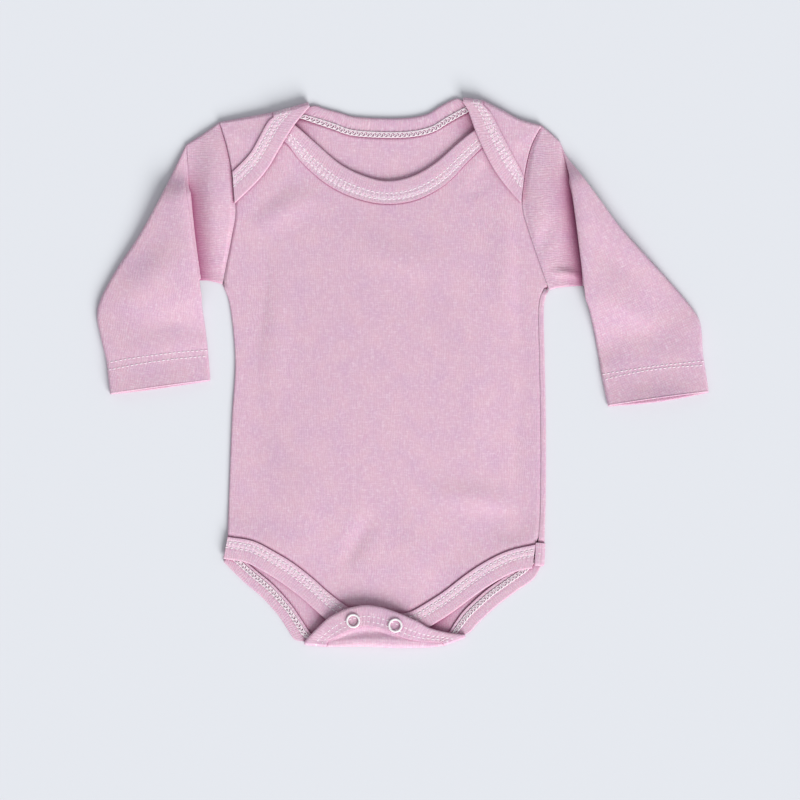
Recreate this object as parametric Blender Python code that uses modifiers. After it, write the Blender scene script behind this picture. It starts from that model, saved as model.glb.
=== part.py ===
"""A baby onesie with long sleeves and lap shoulders, laid flat on a surface with its front up.

The frame has +Z up, +X to the right as the front is seen and +Y towards the neck. The origin is on the
surface, under the middle of the garment. Lengths in the tables are in millimetres, and the meshes are in
metres. Each piece of jersey is a wall built from the sections that a maker would measure, so the layers
lie on each other in the order in which the real ones do.
"""

import math
from typing import NamedTuple

import bmesh
import bpy
import numpy as np

MM = 0.001
WALL = 1.0  # one layer of jersey
BAND = 2.0  # a folded binding with the panel's edge inside it
GAP = 0.3  # air between two pieces that touch
SEAM_GAP = 0.6  # air along an armhole, whose two sides are divided differently

BACK_Z = WALL / 2
FRONT_Z = WALL + GAP + WALL / 2
LAP_Z = 2 * (WALL + GAP) + WALL / 2
BAND_DROP = (BAND - WALL) / 2  # from a band's middle down to the middle of the panel beside it

MIDDLE = (-10.0, 0.0)  # a place inside the outline
WELD = 0.01

LOFT = 1.8  # how far the front stands off the back at its highest
LOFT_HALF_WIDTH = 88.0
LOFT_HALF_LENGTH = 140.0

COLUMNS_LAP = 6
COLUMNS_NECK = 12
COLUMNS_LEG = 7
COLUMNS_TAB = 10
COLUMNS_FRONT_NECK = 18
COLUMNS_FRONT_SHOULDER = 3
COLUMNS_FRONT = COLUMNS_FRONT_NECK + 2 * COLUMNS_FRONT_SHOULDER
ROWS_ARMHOLE = 10
ROWS_SIDE = 8
LAP_ROWS = 4
ARMHOLE_FINE = 40
FOLD_STEPS = 6
BAND_STEPS = 2

SIDE_RETURN = 2.4  # how far one panel goes round the side before its seam
LEG_CORNER_RISE = 1.1  # the front's leg corners lie on the back's leg band
FRONT_FADE = 24.0  # and the front comes back down over this distance

JERSEY_COLOUR = (0.73, 0.47, 0.6, 1.0)
BINDING_COLOUR = (0.7, 0.43, 0.56, 1.0)
RING_COLOUR = (0.9, 0.86, 0.88, 1.0)
CLOTH_ROUGHNESS = 0.9
RING_ROUGHNESS = 0.35


class Point(NamedTuple):
    """A place on an outline, seen from above."""

    x: float
    y: float


class Section(NamedTuple):
    """A cut across a binding: its free edge, its seam edge and the height of its middle."""

    free_x: float
    free_y: float
    seam_x: float
    seam_y: float
    z: float


class Ring(NamedTuple):
    """A cut across a sleeve that lies flat: its outer and inner edge, and how far its middle bows."""

    outer_x: float
    outer_y: float
    inner_x: float
    inner_y: float
    bow: float


class Pleat(NamedTuple):
    """The tuck at the underarm: the line of its edge, where it starts and how much cloth it hides."""

    outer_x: float
    outer_y: float
    inner_x: float
    inner_y: float
    bow: float
    flat_share: float
    tuck: float


# Outlines of the body, each from the neck down.
LEFT_ARMHOLE = (
    Point(-121.5, 165.3),
    Point(-116.2, 148.5),
    Point(-113.0, 131.0),
    Point(-110.8, 107.5),
    Point(-113.2, 91.0),
    Point(-119.6, 58.6),
)
RIGHT_ARMHOLE = (
    Point(92.0, 164.0),
    Point(84.7, 149.5),
    Point(80.2, 129.3),
    Point(78.9, 112.0),
    Point(82.6, 96.0),
    Point(96.9, 54.6),
)
LEFT_SIDE = (
    Point(-119.6, 58.6),
    Point(-114.6, 44.0),
    Point(-111.2, 8.0),
    Point(-113.4, -31.4),
    Point(-115.4, -84.5),
    Point(-116.2, -109.0),
)
RIGHT_SIDE = (
    Point(96.9, 54.6),
    Point(93.6, 44.0),
    Point(94.1, 7.0),
    Point(94.9, -35.0),
    Point(94.8, -80.0),
    Point(93.9, -113.0),
)
LEFT_SHOULDER = (Point(-121.5, 165.3), Point(-104.0, 168.0), Point(-88.0, 170.0))
RIGHT_SHOULDER = (Point(92.0, 164.0), Point(78.0, 168.0), Point(66.0, 174.2), Point(54.3, 180.3))

# The back's neck band, one strip in five stretches. The laps lie on the front, the neck on the surface.
LEFT_LAP = (
    Section(-111.5, 112.0, -113.0, 132.5, 3.7),
    Section(-96.7, 126.5, -105.0, 140.2, 3.9),
    Section(-88.2, 137.3, -99.5, 146.7, 4.8),
    Section(-80.2, 151.0, -94.3, 156.0, 5.6),
    Section(-71.5, 164.0, -89.0, 164.0, 5.7),
)
LEFT_PEAK = Section(-61.5, 178.4, -86.0, 170.3, 5.7)
BACK_NECK = (
    Section(-53.5, 175.6, -68.5, 162.5, 1.0),
    Section(-44.0, 173.2, -48.0, 159.6, 1.0),
    Section(-29.8, 170.4, -32.0, 156.6, 1.0),
    Section(-2.0, 169.7, -1.0, 155.3, 1.0),
    Section(15.1, 172.1, 18.5, 158.5, 1.0),
    Section(25.2, 177.0, 32.0, 164.5, 1.0),
    Section(33.5, 180.4, 45.5, 171.0, 1.0),
)
RIGHT_PEAK = Section(40.0, 182.7, 53.0, 180.8, 5.7)
RIGHT_LAP = (
    Section(43.0, 174.0, 57.5, 172.3, 5.7),
    Section(47.6, 161.4, 61.2, 165.5, 5.7),
    Section(53.7, 147.2, 66.5, 155.2, 5.6),
    Section(60.9, 133.9, 72.5, 143.5, 5.0),
    Section(69.3, 122.5, 77.0, 135.5, 4.0),
    Section(78.2, 112.5, 80.2, 129.0, 3.7),
)

FRONT_NECK = (
    Section(-76.5, 166.5, -84.5, 157.0, 3.4),
    Section(-70.9, 163.8, -76.8, 152.4, 3.3),
    Section(-57.5, 152.1, -66.6, 139.8, 2.4),
    Section(-41.8, 138.7, -49.7, 125.2, 2.3),
    Section(-26.2, 130.9, -31.5, 116.4, 2.3),
    Section(-11.0, 127.3, -11.5, 112.4, 2.3),
    Section(5.2, 130.1, 8.8, 115.2, 2.3),
    Section(20.8, 138.7, 27.6, 125.2, 2.3),
    Section(36.5, 152.4, 43.0, 140.6, 2.4),
    Section(47.5, 160.9, 53.5, 150.5, 3.3),
    Section(57.5, 166.5, 65.0, 157.0, 3.4),
)
FRONT_LEFT_CORNER = Point(-119.4, 160.6)  # the front ends inside the fold of each lap
FRONT_RIGHT_CORNER = Point(89.6, 159.4)

FRONT_LEG = (
    Section(-118.6, -122.0, -116.2, -109.3, 3.4),
    Section(-104.3, -125.9, -99.5, -112.2, 3.4),
    Section(-92.4, -131.9, -84.8, -119.6, 3.35),
    Section(-80.6, -139.3, -72.2, -127.4, 2.7),
    Section(-68.7, -148.2, -60.0, -137.0, 2.3),
    Section(-59.8, -155.9, -50.9, -145.2, 2.3),
    Section(-49.8, -164.5, -40.0, -153.6, 2.3),
    Section(-36.0, -171.6, -32.5, -157.6, 2.3),
    Section(-20.0, -173.1, -19.0, -158.9, 2.3),
    Section(-5.0, -174.3, -5.0, -160.2, 2.3),
    Section(9.5, -172.8, 4.8, -159.2, 2.3),
    Section(26.0, -163.5, 18.1, -151.8, 2.3),
    Section(37.1, -155.9, 29.0, -144.5, 2.6),
    Section(49.8, -146.3, 42.0, -134.4, 3.35),
    Section(62.5, -138.1, 55.5, -125.6, 3.4),
    Section(75.2, -131.9, 70.4, -118.6, 3.4),
    Section(86.0, -129.8, 88.9, -114.2, 3.4),
)

# The back's leg band, one strip in five stretches: left leg, fold, end of the tab, fold, right leg.
LEFT_LEG_BACK = (
    Section(-117.3, -126.5, -111.9, -115.6, 1.0),
    Section(-104.3, -138.1, -96.8, -129.0, 1.0),
    Section(-92.4, -148.2, -85.0, -138.8, 1.0),
    Section(-81.8, -160.1, -73.2, -151.8, 1.0),
    Section(-75.8, -168.9, -66.0, -162.0, 1.0),
    Section(-70.6, -176.0, -58.5, -172.5, 1.0),
)
LEFT_TAB_FOLD = Section(-65.6, -180.6, -51.0, -182.0, 3.7)
TAB = (
    Section(-62.5, -175.0, -49.5, -177.3, 3.9),
    Section(-50.7, -163.4, -43.5, -174.0, 5.7),
    Section(-42.7, -158.6, -38.0, -171.0, 7.3),
    Section(-34.5, -155.4, -31.5, -168.8, 7.7),
    Section(-24.0, -153.9, -24.5, -167.2, 7.5),
    Section(-13.7, -155.4, -16.0, -168.4, 7.5),
    Section(-3.0, -159.0, -7.5, -171.5, 7.7),
    Section(9.6, -164.6, 4.0, -176.0, 6.6),
    Section(17.6, -169.0, 13.0, -177.3, 4.9),
    Section(30.0, -172.2, 23.5, -177.9, 3.9),
)
RIGHT_TAB_FOLD = Section(42.0, -175.8, 28.0, -181.0, 3.7)
RIGHT_LEG_BACK = (
    Section(43.8, -170.8, 34.5, -163.8, 1.0),
    Section(49.8, -164.1, 41.0, -155.4, 1.0),
    Section(62.5, -152.7, 54.3, -143.2, 1.0),
    Section(75.2, -143.8, 67.8, -133.6, 1.0),
    Section(85.6, -136.5, 79.5, -124.8, 1.0),
    Section(92.9, -128.5, 90.0, -115.8, 1.0),
)
TAB_FOLD_EDGE = (
    Point(-50.1, -182.0),
    Point(-27.0, -181.6),
    Point(-2.5, -182.6),
    Point(17.6, -182.2),
    Point(27.1, -181.1),
)

# Sleeves: rings from the armhole to the pleat, and from the pleat to the cuff.
LEFT_UPPER = (
    Ring(-128.0, 161.6, -125.0, 60.2, 7.0),
    Ring(-134.0, 157.5, -130.0, 61.2, 3.5),
)
LEFT_PLEAT = Pleat(-142.5, 151.5, -133.7, 61.6, -1.2, 0.14, 3.0)
LEFT_FOREARM = (
    Ring(-148.0, 142.5, -133.4, 52.0, 0.0),
    Ring(-156.0, 126.0, -133.2, 47.0, 0.0),
    Ring(-165.5, 108.0, -132.9, 43.0, 0.0),
    Ring(-176.0, 89.6, -132.4, 39.0, 0.0),
    Ring(-190.0, 68.6, -131.8, 35.0, 0.0),
    Ring(-200.8, 48.3, -131.2, 31.0, 0.0),
    Ring(-202.9, 36.5, -130.7, 27.0, 0.0),
    Ring(-200.6, 24.0, -130.2, 23.0, 0.0),
)
LEFT_HEM = (
    Ring(-197.3, 10.5, -129.6, 18.5, 0.0),
    Ring(-196.6, 7.5, -129.4, 16.0, 0.0),
    Ring(-194.0, -13.5, -127.4, -3.8, 0.0),
)
RIGHT_UPPER = (
    Ring(95.3, 161.0, 102.5, 56.3, -9.0),
    Ring(98.5, 158.0, 110.0, 57.2, -3.0),
)
RIGHT_PLEAT = Pleat(101.8, 153.0, 119.2, 57.0, 3.0, 0.1, 3.0)
RIGHT_FOREARM = (
    Ring(107.8, 142.0, 120.8, 50.0, 0.0),
    Ring(118.7, 128.2, 122.4, 45.0, 0.0),
    Ring(131.0, 113.0, 123.9, 40.0, 0.0),
    Ring(144.0, 97.0, 125.3, 34.0, 0.0),
    Ring(160.0, 79.2, 126.6, 28.0, 0.0),
    Ring(176.0, 61.6, 127.7, 22.0, 0.0),
    Ring(191.9, 42.8, 129.0, 15.0, 0.0),
    Ring(197.5, 32.0, 130.3, 8.0, 0.0),
)
RIGHT_HEM = (
    Ring(199.2, 11.0, 131.2, 1.5, 0.0),
    Ring(199.8, 8.0, 131.6, -1.0, 0.0),
    Ring(202.8, -12.0, 135.9, -21.2, 0.0),
)
SLEEVE_Z = WALL + GAP / 2
HEM_WALL = 1.6
HEM_GAP = 0.8
PLEAT_RADIUS = WALL + GAP
PLEAT_TURN_START = 0.2  # radians, what is left of the tuck at the sleeve's outer edge
PLEAT_STEPS = 4
PLEAT_OPENING = 0.3  # share of the sleeve's width over which the tuck folds flat
RISE_FADE = 13.0  # the forearm comes back down to the surface over this distance
RISE_CLEAR = 0.5
SLEEVE_EDGE = ((0.0, 0.0), (0.5, 0.72), (1.5, 1.0))  # distance from the edge, share of full thickness
SLEEVE_DIVISIONS = 10

# Snaps: an open prong ring and a socket on the tab, and a stud on the front's crotch end.
SNAPS = {"left": Point(-32.9, -164.3), "right": Point(-5.0, -167.3)}
RING_RADIUS = 4.75
RING_HOLE = 3.3
RING_HEIGHT = 1.1
DISC_RADIUS = 4.6
STUD_BASE = 0.8
STUD_POST_RADIUS = 1.6
STUD_POST_HEIGHT = 1.0
SOCKET_HEIGHT = 1.1
SOCKET_HOLE = 1.9
ROUND_SEGMENTS = 32
RING_PROFILE = 8
SNAP_CLEAR = 0.1
FRONT_BAND_TOP = 2.3 + BAND / 2
TAB_BAND_TOP = 7.7 + BAND / 2


def loft(x: float, y: float) -> float:
    """How far the layers above the back are lifted at a place."""
    across = max(0.0, 1 - (x + 8.0) ** 2 / LOFT_HALF_WIDTH**2)
    along = max(0.0, 1 - (y + 8.0) ** 2 / LOFT_HALF_LENGTH**2)
    return LOFT * across * along


def smooth_step(value: float) -> float:
    """0 below 0, 1 above 1 and a soft slope between."""
    value = min(1.0, max(0.0, value))
    return value * value * (3 - 2 * value)


def smooth_line(points, count: int) -> np.ndarray:
    """A soft curve through points, as count + 1 points at even distances."""
    points = np.array(points, float)
    padded = np.vstack([2 * points[0] - points[1], points, 2 * points[-1] - points[-2]])
    fine = []
    for i in range(1, len(padded) - 2):
        before, start, end, after = padded[i - 1 : i + 3]
        for t in np.linspace(0, 1, 24, endpoint=False):
            fine.append(
                start
                + 0.5 * t * (end - before)
                + t * t * (before - 2.5 * start + 2 * end - 0.5 * after)
                + t**3 * (1.5 * (start - end) + 0.5 * (after - before))
            )
    fine.append(points[-1])
    fine = np.array(fine)
    travelled = np.concatenate([[0], np.cumsum(np.linalg.norm(np.diff(fine, axis=0), axis=1))])
    stops = np.linspace(0, travelled[-1], count + 1)
    return np.column_stack([np.interp(stops, travelled, fine[:, k]) for k in range(fine.shape[1])])


def at_height(line: np.ndarray, z: float) -> np.ndarray:
    """A line seen from above, put at a height."""
    return np.column_stack([line[:, 0], line[:, 1], np.full(len(line), z)])


def normals_towards(line: np.ndarray, inside) -> np.ndarray:
    """Sideways directions along a line seen from above, on the side of one place or of one for each point."""
    along = np.gradient(line[:, :2], axis=0)
    across = np.column_stack([-along[:, 1], along[:, 0]])
    across /= np.linalg.norm(across, axis=1)[:, None]
    sign = np.sign(((np.array(inside) - line[:, :2]) * across).sum())
    return np.column_stack([across * sign, np.zeros(len(line))])


def patch(first, last, start, end) -> np.ndarray:
    """A grid that fills four border lines. first and last run along it, start and end join their ends."""
    u = np.linspace(0, 1, len(first))[None, :, None]
    v = np.linspace(0, 1, len(start))[:, None, None]
    ruled = (1 - v) * first[None] + v * last[None] + (1 - u) * start[:, None] + u * end[:, None]
    corners = (1 - u) * ((1 - v) * first[0] + v * last[0]) + u * ((1 - v) * first[-1] + v * last[-1])
    return ruled - corners


def turned(edge: np.ndarray, low_z: float, high_z, half: float, ends=(None, None)) -> np.ndarray:
    """Rows that carry a wall round a folded edge, from its lower layer to its upper one.

    Args:
        edge: the outermost line of the fold, seen from above.
        low_z: height of the lower layer's middle.
        high_z: height of the upper layer's middle, one value or one for each point.
        half: half of the wall's thickness.
        ends: for the first and the last point, the band section that it meets, if any.
    """
    radius = (np.broadcast_to(high_z, len(edge)) - low_z) / 2
    flat = at_height(edge, 0.0)
    normal = normals_towards(flat, MIDDLE)
    for index, section in zip((0, -1), ends):
        if section is not None:
            normal[index] = normals_towards(section_ends(section), MIDDLE)[0]
    rows = []
    for angle in np.linspace(0, math.pi, FOLD_STEPS + 1):
        inset = radius + half - radius * math.sin(angle)
        row = flat + normal * inset[:, None]
        row[:, 2] = low_z + radius * (1 - math.cos(angle))
        rows.append(row)
    return np.array(rows)


def section_ends(section: Section) -> np.ndarray:
    """The two ends of a section, seen from above."""
    return np.array([[section.free_x, section.free_y, 0.0], [section.seam_x, section.seam_y, 0.0]])


def edges_of(sections, count: int) -> np.ndarray:
    """A band through a table of sections, as count + 1 pairs of points: free edge, then seam edge."""
    both = smooth_line(sections, count)
    return np.stack([both[:, [0, 1, 4]], both[:, [2, 3, 4]]], axis=1)


def band_fold(section: Section, low_z: float) -> np.ndarray:
    """Pairs of points that carry a band round a fold, from its lower layer to its upper one."""
    return turned(section_ends(section), low_z, section.z, BAND / 2)


def as_section(pair: np.ndarray) -> Section:
    """The section that a pair of points makes."""
    return Section(pair[0][0], pair[0][1], pair[1][0], pair[1][1], pair[0][2])


def raised(line: np.ndarray) -> np.ndarray:
    """Points lifted with the loft of the front."""
    lifted = line.copy()
    lifted[..., 2] += np.vectorize(loft)(line[..., 0], line[..., 1])
    return lifted


def beside(band: np.ndarray, z=None) -> np.ndarray:
    """The edge of the panel that a band holds: a gap away from its seam edge."""
    edge = band[:, 1] - normals_towards(band[:, 1], band[:, 0, :2]) * GAP
    edge[:, 2] = edge[:, 2] - BAND_DROP if z is None else z
    return edge


def collection_for(name: str) -> bpy.types.Collection:
    """A new collection in the scene."""
    made = bpy.data.collections.new(name)
    bpy.context.scene.collection.children.link(made)
    return made


def material_for(name: str, colour, roughness: float) -> bpy.types.Material:
    """A Principled material of one colour."""
    material = bpy.data.materials.new(name)
    material.use_nodes = True
    shader = material.node_tree.nodes["Principled BSDF"]
    shader.inputs["Base Color"].default_value = colour
    shader.inputs["Roughness"].default_value = roughness
    shader.inputs["Metallic"].default_value = 0.0
    return material


def add_object(name: str, bm: bmesh.types.BMesh, colour, roughness: float, parts) -> bpy.types.Object:
    """An object for a mesh in millimetres, in the parts' collection, with a material of its own."""
    bmesh.ops.scale(bm, vec=(MM, MM, MM), verts=bm.verts)
    mesh = bpy.data.meshes.new(name)
    bm.to_mesh(mesh)
    bm.free()
    mesh.materials.append(material_for(name, colour, roughness))
    made = bpy.data.objects.new(name, mesh)
    parts.objects.link(made)
    return made


def add_cloth(name: str, grids, thickness: float, colour, parts) -> bpy.types.Object:
    """A wall of one thickness about grids of points, which are joined where their borders meet."""
    bm = bmesh.new()
    for grid in grids:
        verts = [[bm.verts.new(point) for point in row] for row in grid]
        for lower, upper in zip(verts, verts[1:]):
            for corners in zip(lower, lower[1:], upper[1:], upper):
                bm.faces.new(corners)
    bmesh.ops.remove_doubles(bm, verts=bm.verts, dist=WELD)
    bmesh.ops.dissolve_degenerate(bm, edges=bm.edges, dist=WELD)
    bmesh.ops.recalc_face_normals(bm, faces=bm.faces)
    made = add_object(name, bm, colour, CLOTH_ROUGHNESS, parts)
    solidify = made.modifiers.new("wall", "SOLIDIFY")
    solidify.thickness = thickness * MM
    solidify.offset = 0.0
    solidify.use_even_offset = True
    return made


def add_band(name: str, band: np.ndarray, parts) -> bpy.types.Object:
    """A binding through pairs of points."""
    shares = np.linspace(0, 1, BAND_STEPS + 1)[None, :, None]
    grid = band[:, :1] * (1 - shares) + band[:, 1:] * shares
    return add_cloth(name, [grid], BAND, BINDING_COLOUR, parts)


class NeckBand(NamedTuple):
    """The stretches of the back's neck band that the back panel is sewn to."""

    left_lap: np.ndarray
    neck: np.ndarray
    right_lap: np.ndarray


def add_back_neck_band(parts) -> NeckBand:
    """The strip from one lap over its peak, along the back neck and over the other peak to the other lap."""
    left_fold = band_fold(LEFT_PEAK, BAND / 2)
    right_fold = band_fold(RIGHT_PEAK, BAND / 2)
    left = edges_of((*LEFT_LAP, as_section(left_fold[-1])), COLUMNS_LAP)
    neck = edges_of((as_section(left_fold[0]), *BACK_NECK, as_section(right_fold[0])), COLUMNS_NECK)
    right = edges_of((as_section(right_fold[-1]), *RIGHT_LAP), COLUMNS_LAP)
    band = np.concatenate([left, left_fold[-2:0:-1], neck, right_fold[1:-1], right])
    add_band("back_neck_binding", band, parts)
    return NeckBand(left, neck, right[::-1])


class LegBand(NamedTuple):
    """The stretches of the back's leg band that the back panel is sewn to."""

    left: np.ndarray
    tab: np.ndarray
    right: np.ndarray


def add_back_leg_band(parts) -> LegBand:
    """The strip along one leg, round the crotch fold, along the tab's end and back along the other leg."""
    left_fold = band_fold(LEFT_TAB_FOLD, BAND / 2)
    right_fold = band_fold(RIGHT_TAB_FOLD, BAND / 2)
    left = edges_of((*LEFT_LEG_BACK, as_section(left_fold[0])), COLUMNS_LEG)
    tab = edges_of((as_section(left_fold[-1]), *TAB, as_section(right_fold[-1])), COLUMNS_TAB)
    right = edges_of((as_section(right_fold[0]), *RIGHT_LEG_BACK), COLUMNS_LEG)
    band = np.concatenate([left, left_fold[1:-1], tab, right_fold[-2:0:-1], right])
    add_band("back_leg_binding", band, parts)
    return LegBand(left, tab, right)


def lap_grids(shoulder, peak: Section, band: np.ndarray, armhole):
    """The rows round a shoulder's fold, and the lap that they carry on to the front."""
    edge = smooth_line(shoulder, COLUMNS_LAP)
    seam = beside(band)
    heights = np.linspace(LAP_Z, seam[-1, 2], COLUMNS_LAP + 1)
    rows = turned(edge, BACK_Z, heights, WALL / 2, (None, peak))
    top = rows[-1]
    seam[-1] = top[-1]
    outline = smooth_line(armhole, ARMHOLE_FINE)
    between = outline[(outline[:, 1] < top[0, 1]) & (outline[:, 1] > seam[0, 1])]
    down = smooth_line(np.vstack([top[:1], at_height(between, LAP_Z), seam[:1]]), LAP_ROWS)
    corner = np.repeat(top[-1:], LAP_ROWS + 1, axis=0)
    return rows, patch(top, seam, down, corner)


def tab_grids(band: np.ndarray):
    """The rows round the crotch fold, and the tab that they carry on to the front."""
    seam = beside(band)
    edge = smooth_line(TAB_FOLD_EDGE, COLUMNS_TAB)
    rows = turned(edge, BACK_Z, seam[:, 2], WALL / 2, (LEFT_TAB_FOLD, RIGHT_TAB_FOLD))
    top = rows[-1]
    seam[0] = top[0]
    seam[-1] = top[-1]
    start = np.repeat(top[:1], LAP_ROWS + 1, axis=0)
    end = np.repeat(top[-1:], LAP_ROWS + 1, axis=0)
    return rows, patch(top, seam, start, end)


def side_line(side, z) -> np.ndarray:
    """The side edge of a panel that stops short of the other one, which comes round the side to meet it."""
    line = at_height(smooth_line(side, ROWS_SIDE), 0.0)
    inset = (front_side_heights(side) - BACK_Z) / 2 + WALL / 2 + SIDE_RETURN + GAP
    line += normals_towards(line, MIDDLE) * inset[:, None]
    line[:, 2] = z
    return line


def front_side_heights(side) -> np.ndarray:
    """Heights of the front layer down a side: it rises where the leg bands lie on each other."""
    line = smooth_line(side, ROWS_SIDE)
    away = np.linalg.norm(line - line[-1], axis=1)
    return FRONT_Z + LEG_CORNER_RISE * np.array([smooth_step(1 - d / FRONT_FADE) for d in away])


def side_fold(side, from_back: bool) -> np.ndarray:
    """Rows that carry a panel round its side edge to the other layer and on to its seam."""
    line = at_height(smooth_line(side, ROWS_SIDE), 0.0)
    rows = turned(line, BACK_Z, front_side_heights(side), WALL / 2)
    rows = rows if from_back else rows[::-1]
    seam = rows[-1] + normals_towards(line, MIDDLE) * SIDE_RETURN
    return np.concatenate([rows, seam[None]])


def long_edge(top: np.ndarray, armhole, side: np.ndarray, bottom: np.ndarray) -> np.ndarray:
    """A panel's edge from its neck corner down the armhole and the side to its leg corner."""
    outline = smooth_line(armhole, ARMHOLE_FINE)
    outline = outline[outline[:, 1] < top[1] - 1.0][:-1]
    upper = smooth_line(np.vstack([top[None], at_height(outline, side[0, 2]), side[:1]]), ROWS_ARMHOLE)
    return np.concatenate([upper, side[1:-1], bottom[None]])


def add_back_panel(neck_band: NeckBand, leg_band: LegBand, parts) -> None:
    """The back body with both laps and the crotch tab in one wall, its right side round on to the front."""
    left_rows, left_lap = lap_grids(LEFT_SHOULDER, LEFT_PEAK, neck_band.left_lap, LEFT_ARMHOLE)
    right_rows, right_lap = lap_grids(RIGHT_SHOULDER, RIGHT_PEAK, neck_band.right_lap, RIGHT_ARMHOLE)
    tab_rows, tab = tab_grids(leg_band.tab)
    neck = beside(neck_band.neck, BACK_Z)[1:-1]
    top = np.concatenate([left_rows[0], neck, right_rows[0][::-1]])
    left_leg = beside(leg_band.left, BACK_Z)[:-1]
    right_leg = beside(leg_band.right, BACK_Z)[1:]
    fold = side_fold(RIGHT_SIDE, True)
    right_leg[-1] = fold[0][-1]
    bottom = np.concatenate([left_leg, tab_rows[0], right_leg])
    left_side = side_line(LEFT_SIDE, BACK_Z)
    left = long_edge(top[0], LEFT_ARMHOLE, left_side, bottom[0])
    right = long_edge(top[-1], RIGHT_ARMHOLE, fold[0], bottom[-1])
    body = patch(top, bottom, left, right)
    body[-len(fold[0]) :, -1] = fold[0]
    grids = [body, fold, left_rows, left_lap, right_rows, right_lap, tab_rows, tab]
    add_cloth("back_panel", grids, WALL, JERSEY_COLOUR, parts)


def lifted_front(body: np.ndarray) -> np.ndarray:
    """The front's grid at its heights: the loft over the back, and a rise towards each edge that lies higher."""
    level = body.copy()
    level[..., 2] = FRONT_Z + np.vectorize(loft)(body[..., 0], body[..., 1])
    for edge in (body[0], body[-1]):
        away = np.linalg.norm(body[..., :2] - edge[None, :, :2], axis=2)
        own = FRONT_Z + np.vectorize(loft)(edge[:, 0], edge[:, 1])
        level[..., 2] += (edge[:, 2] - own)[None] * np.vectorize(smooth_step)(1 - away / FRONT_FADE)
    return level


def add_front_panel(neck_band: np.ndarray, leg_band: np.ndarray, parts) -> None:
    """The front body in one wall, its left side round to the surface."""
    neck = beside(neck_band)
    leg = beside(leg_band)
    left_shoulder = smooth_line((FRONT_LEFT_CORNER, neck[0, :2]), COLUMNS_FRONT_SHOULDER)[:-1]
    right_shoulder = smooth_line((neck[-1, :2], FRONT_RIGHT_CORNER), COLUMNS_FRONT_SHOULDER)[1:]
    top = np.concatenate([at_height(left_shoulder, FRONT_Z), neck, at_height(right_shoulder, FRONT_Z)])
    fold = side_fold(LEFT_SIDE, False)
    leg[0] = fold[0][-1]
    right_side = side_line(RIGHT_SIDE, front_side_heights(RIGHT_SIDE))
    left = long_edge(top[0], LEFT_ARMHOLE, fold[0], leg[0])
    right = long_edge(top[-1], RIGHT_ARMHOLE, right_side, leg[-1])
    body = lifted_front(patch(top, leg, left, right))
    body[:, 0] = left
    body[:, -1] = right
    add_cloth("front_panel", [body, fold], WALL, JERSEY_COLOUR, parts)


def pleat_step(share: float, tuck: float, flat_share: float):
    """The path of a sleeve through its tuck, at a share of its width from the outer edge.

    Returns:
        Rows of (distance past the tuck's edge towards the cuff, height, slope angle).
    """
    opened = smooth_step((share - flat_share) / PLEAT_OPENING)
    turn = PLEAT_TURN_START + (math.pi - PLEAT_TURN_START) * opened
    hidden = tuck * smooth_step((share - flat_share - PLEAT_OPENING / 2) / (1 - flat_share))
    rows = []
    for angle in np.linspace(0, turn, PLEAT_STEPS + 1):
        rows.append((PLEAT_RADIUS * math.sin(angle), PLEAT_RADIUS * (1 - math.cos(angle)), angle))
    far = rows[-1][0] + hidden * math.cos(turn)
    high = rows[-1][1] + hidden * math.sin(turn)
    for angle in np.linspace(turn, 0, PLEAT_STEPS + 1):
        forward = far + PLEAT_RADIUS * (math.sin(turn) - math.sin(angle))
        rise = high + PLEAT_RADIUS * (math.cos(angle) - math.cos(turn))
        rows.append((forward, rise, angle))
    rows = np.array(rows)
    rows[:, 0] += SLEEVE_Z - rows[:, 0].min()
    return rows


def ring_line(ring: Ring, shares: np.ndarray) -> np.ndarray:
    """Points across a sleeve along a ring, at shares of its width from the outer edge."""
    outer = np.array([ring.outer_x, ring.outer_y])
    inner = np.array([ring.inner_x, ring.inner_y])
    line = outer + (inner - outer) * shares[:, None]
    line[:, 0] += ring.bow * np.sin(math.pi * shares)
    return line


def across_sleeve(width: float):
    """Distances across a flat sleeve from its outer edge, and the share of its full thickness at each."""
    near = np.array(SLEEVE_EDGE)
    flat = np.linspace(near[-1, 0], width - near[-1, 0], SLEEVE_DIVISIONS + 1)[1:-1]
    distances = np.concatenate([near[:, 0], flat, width - near[::-1, 0]])
    shares = np.concatenate([near[:, 1], np.ones(len(flat)), near[::-1, 1]])
    return distances / width, shares


def sleeve_loop(middle: np.ndarray, up: np.ndarray, shares: np.ndarray, half: float) -> np.ndarray:
    """A closed loop round a flattened tube, over its top and back under it."""
    top = middle + up * (shares * half)[:, None]
    under = middle - up * (shares * half)[:, None]
    return np.vstack([top, under[-2:0:-1]])


class SleeveRing(NamedTuple):
    """A cut across a sleeve in space: its middle line, its upward side and its wall."""

    middle: np.ndarray
    up: np.ndarray
    shares: np.ndarray
    wall: float
    gap: float


def flat_ring(line: np.ndarray, z, shares: np.ndarray, wall: float = WALL, gap: float = GAP) -> SleeveRing:
    """A ring of a sleeve that lies level at a height."""
    middle = np.column_stack([line, np.broadcast_to(z, len(line))])
    return SleeveRing(middle, np.tile([0.0, 0.0, 1.0], (len(line), 1)), shares, wall, gap)


def width_of(ring) -> float:
    """The width of a sleeve at a ring or a tuck."""
    return math.hypot(ring.inner_x - ring.outer_x, ring.inner_y - ring.outer_y)


def armhole_ring(armhole) -> SleeveRing:
    """The sleeve's end in the armhole, a gap outside the body."""
    outline = smooth_line(armhole, ARMHOLE_FINE)
    outline = outline - normals_towards(outline, MIDDLE)[:, :2] * SEAM_GAP
    steps = np.linalg.norm(np.diff(outline, axis=0), axis=1)
    travelled = np.concatenate([[0], np.cumsum(steps)])
    places, shares = across_sleeve(travelled[-1])
    stops = places * travelled[-1]
    line = np.column_stack([np.interp(stops, travelled, outline[:, k]) for k in (0, 1)])
    return flat_ring(line, SLEEVE_Z, shares)


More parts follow.
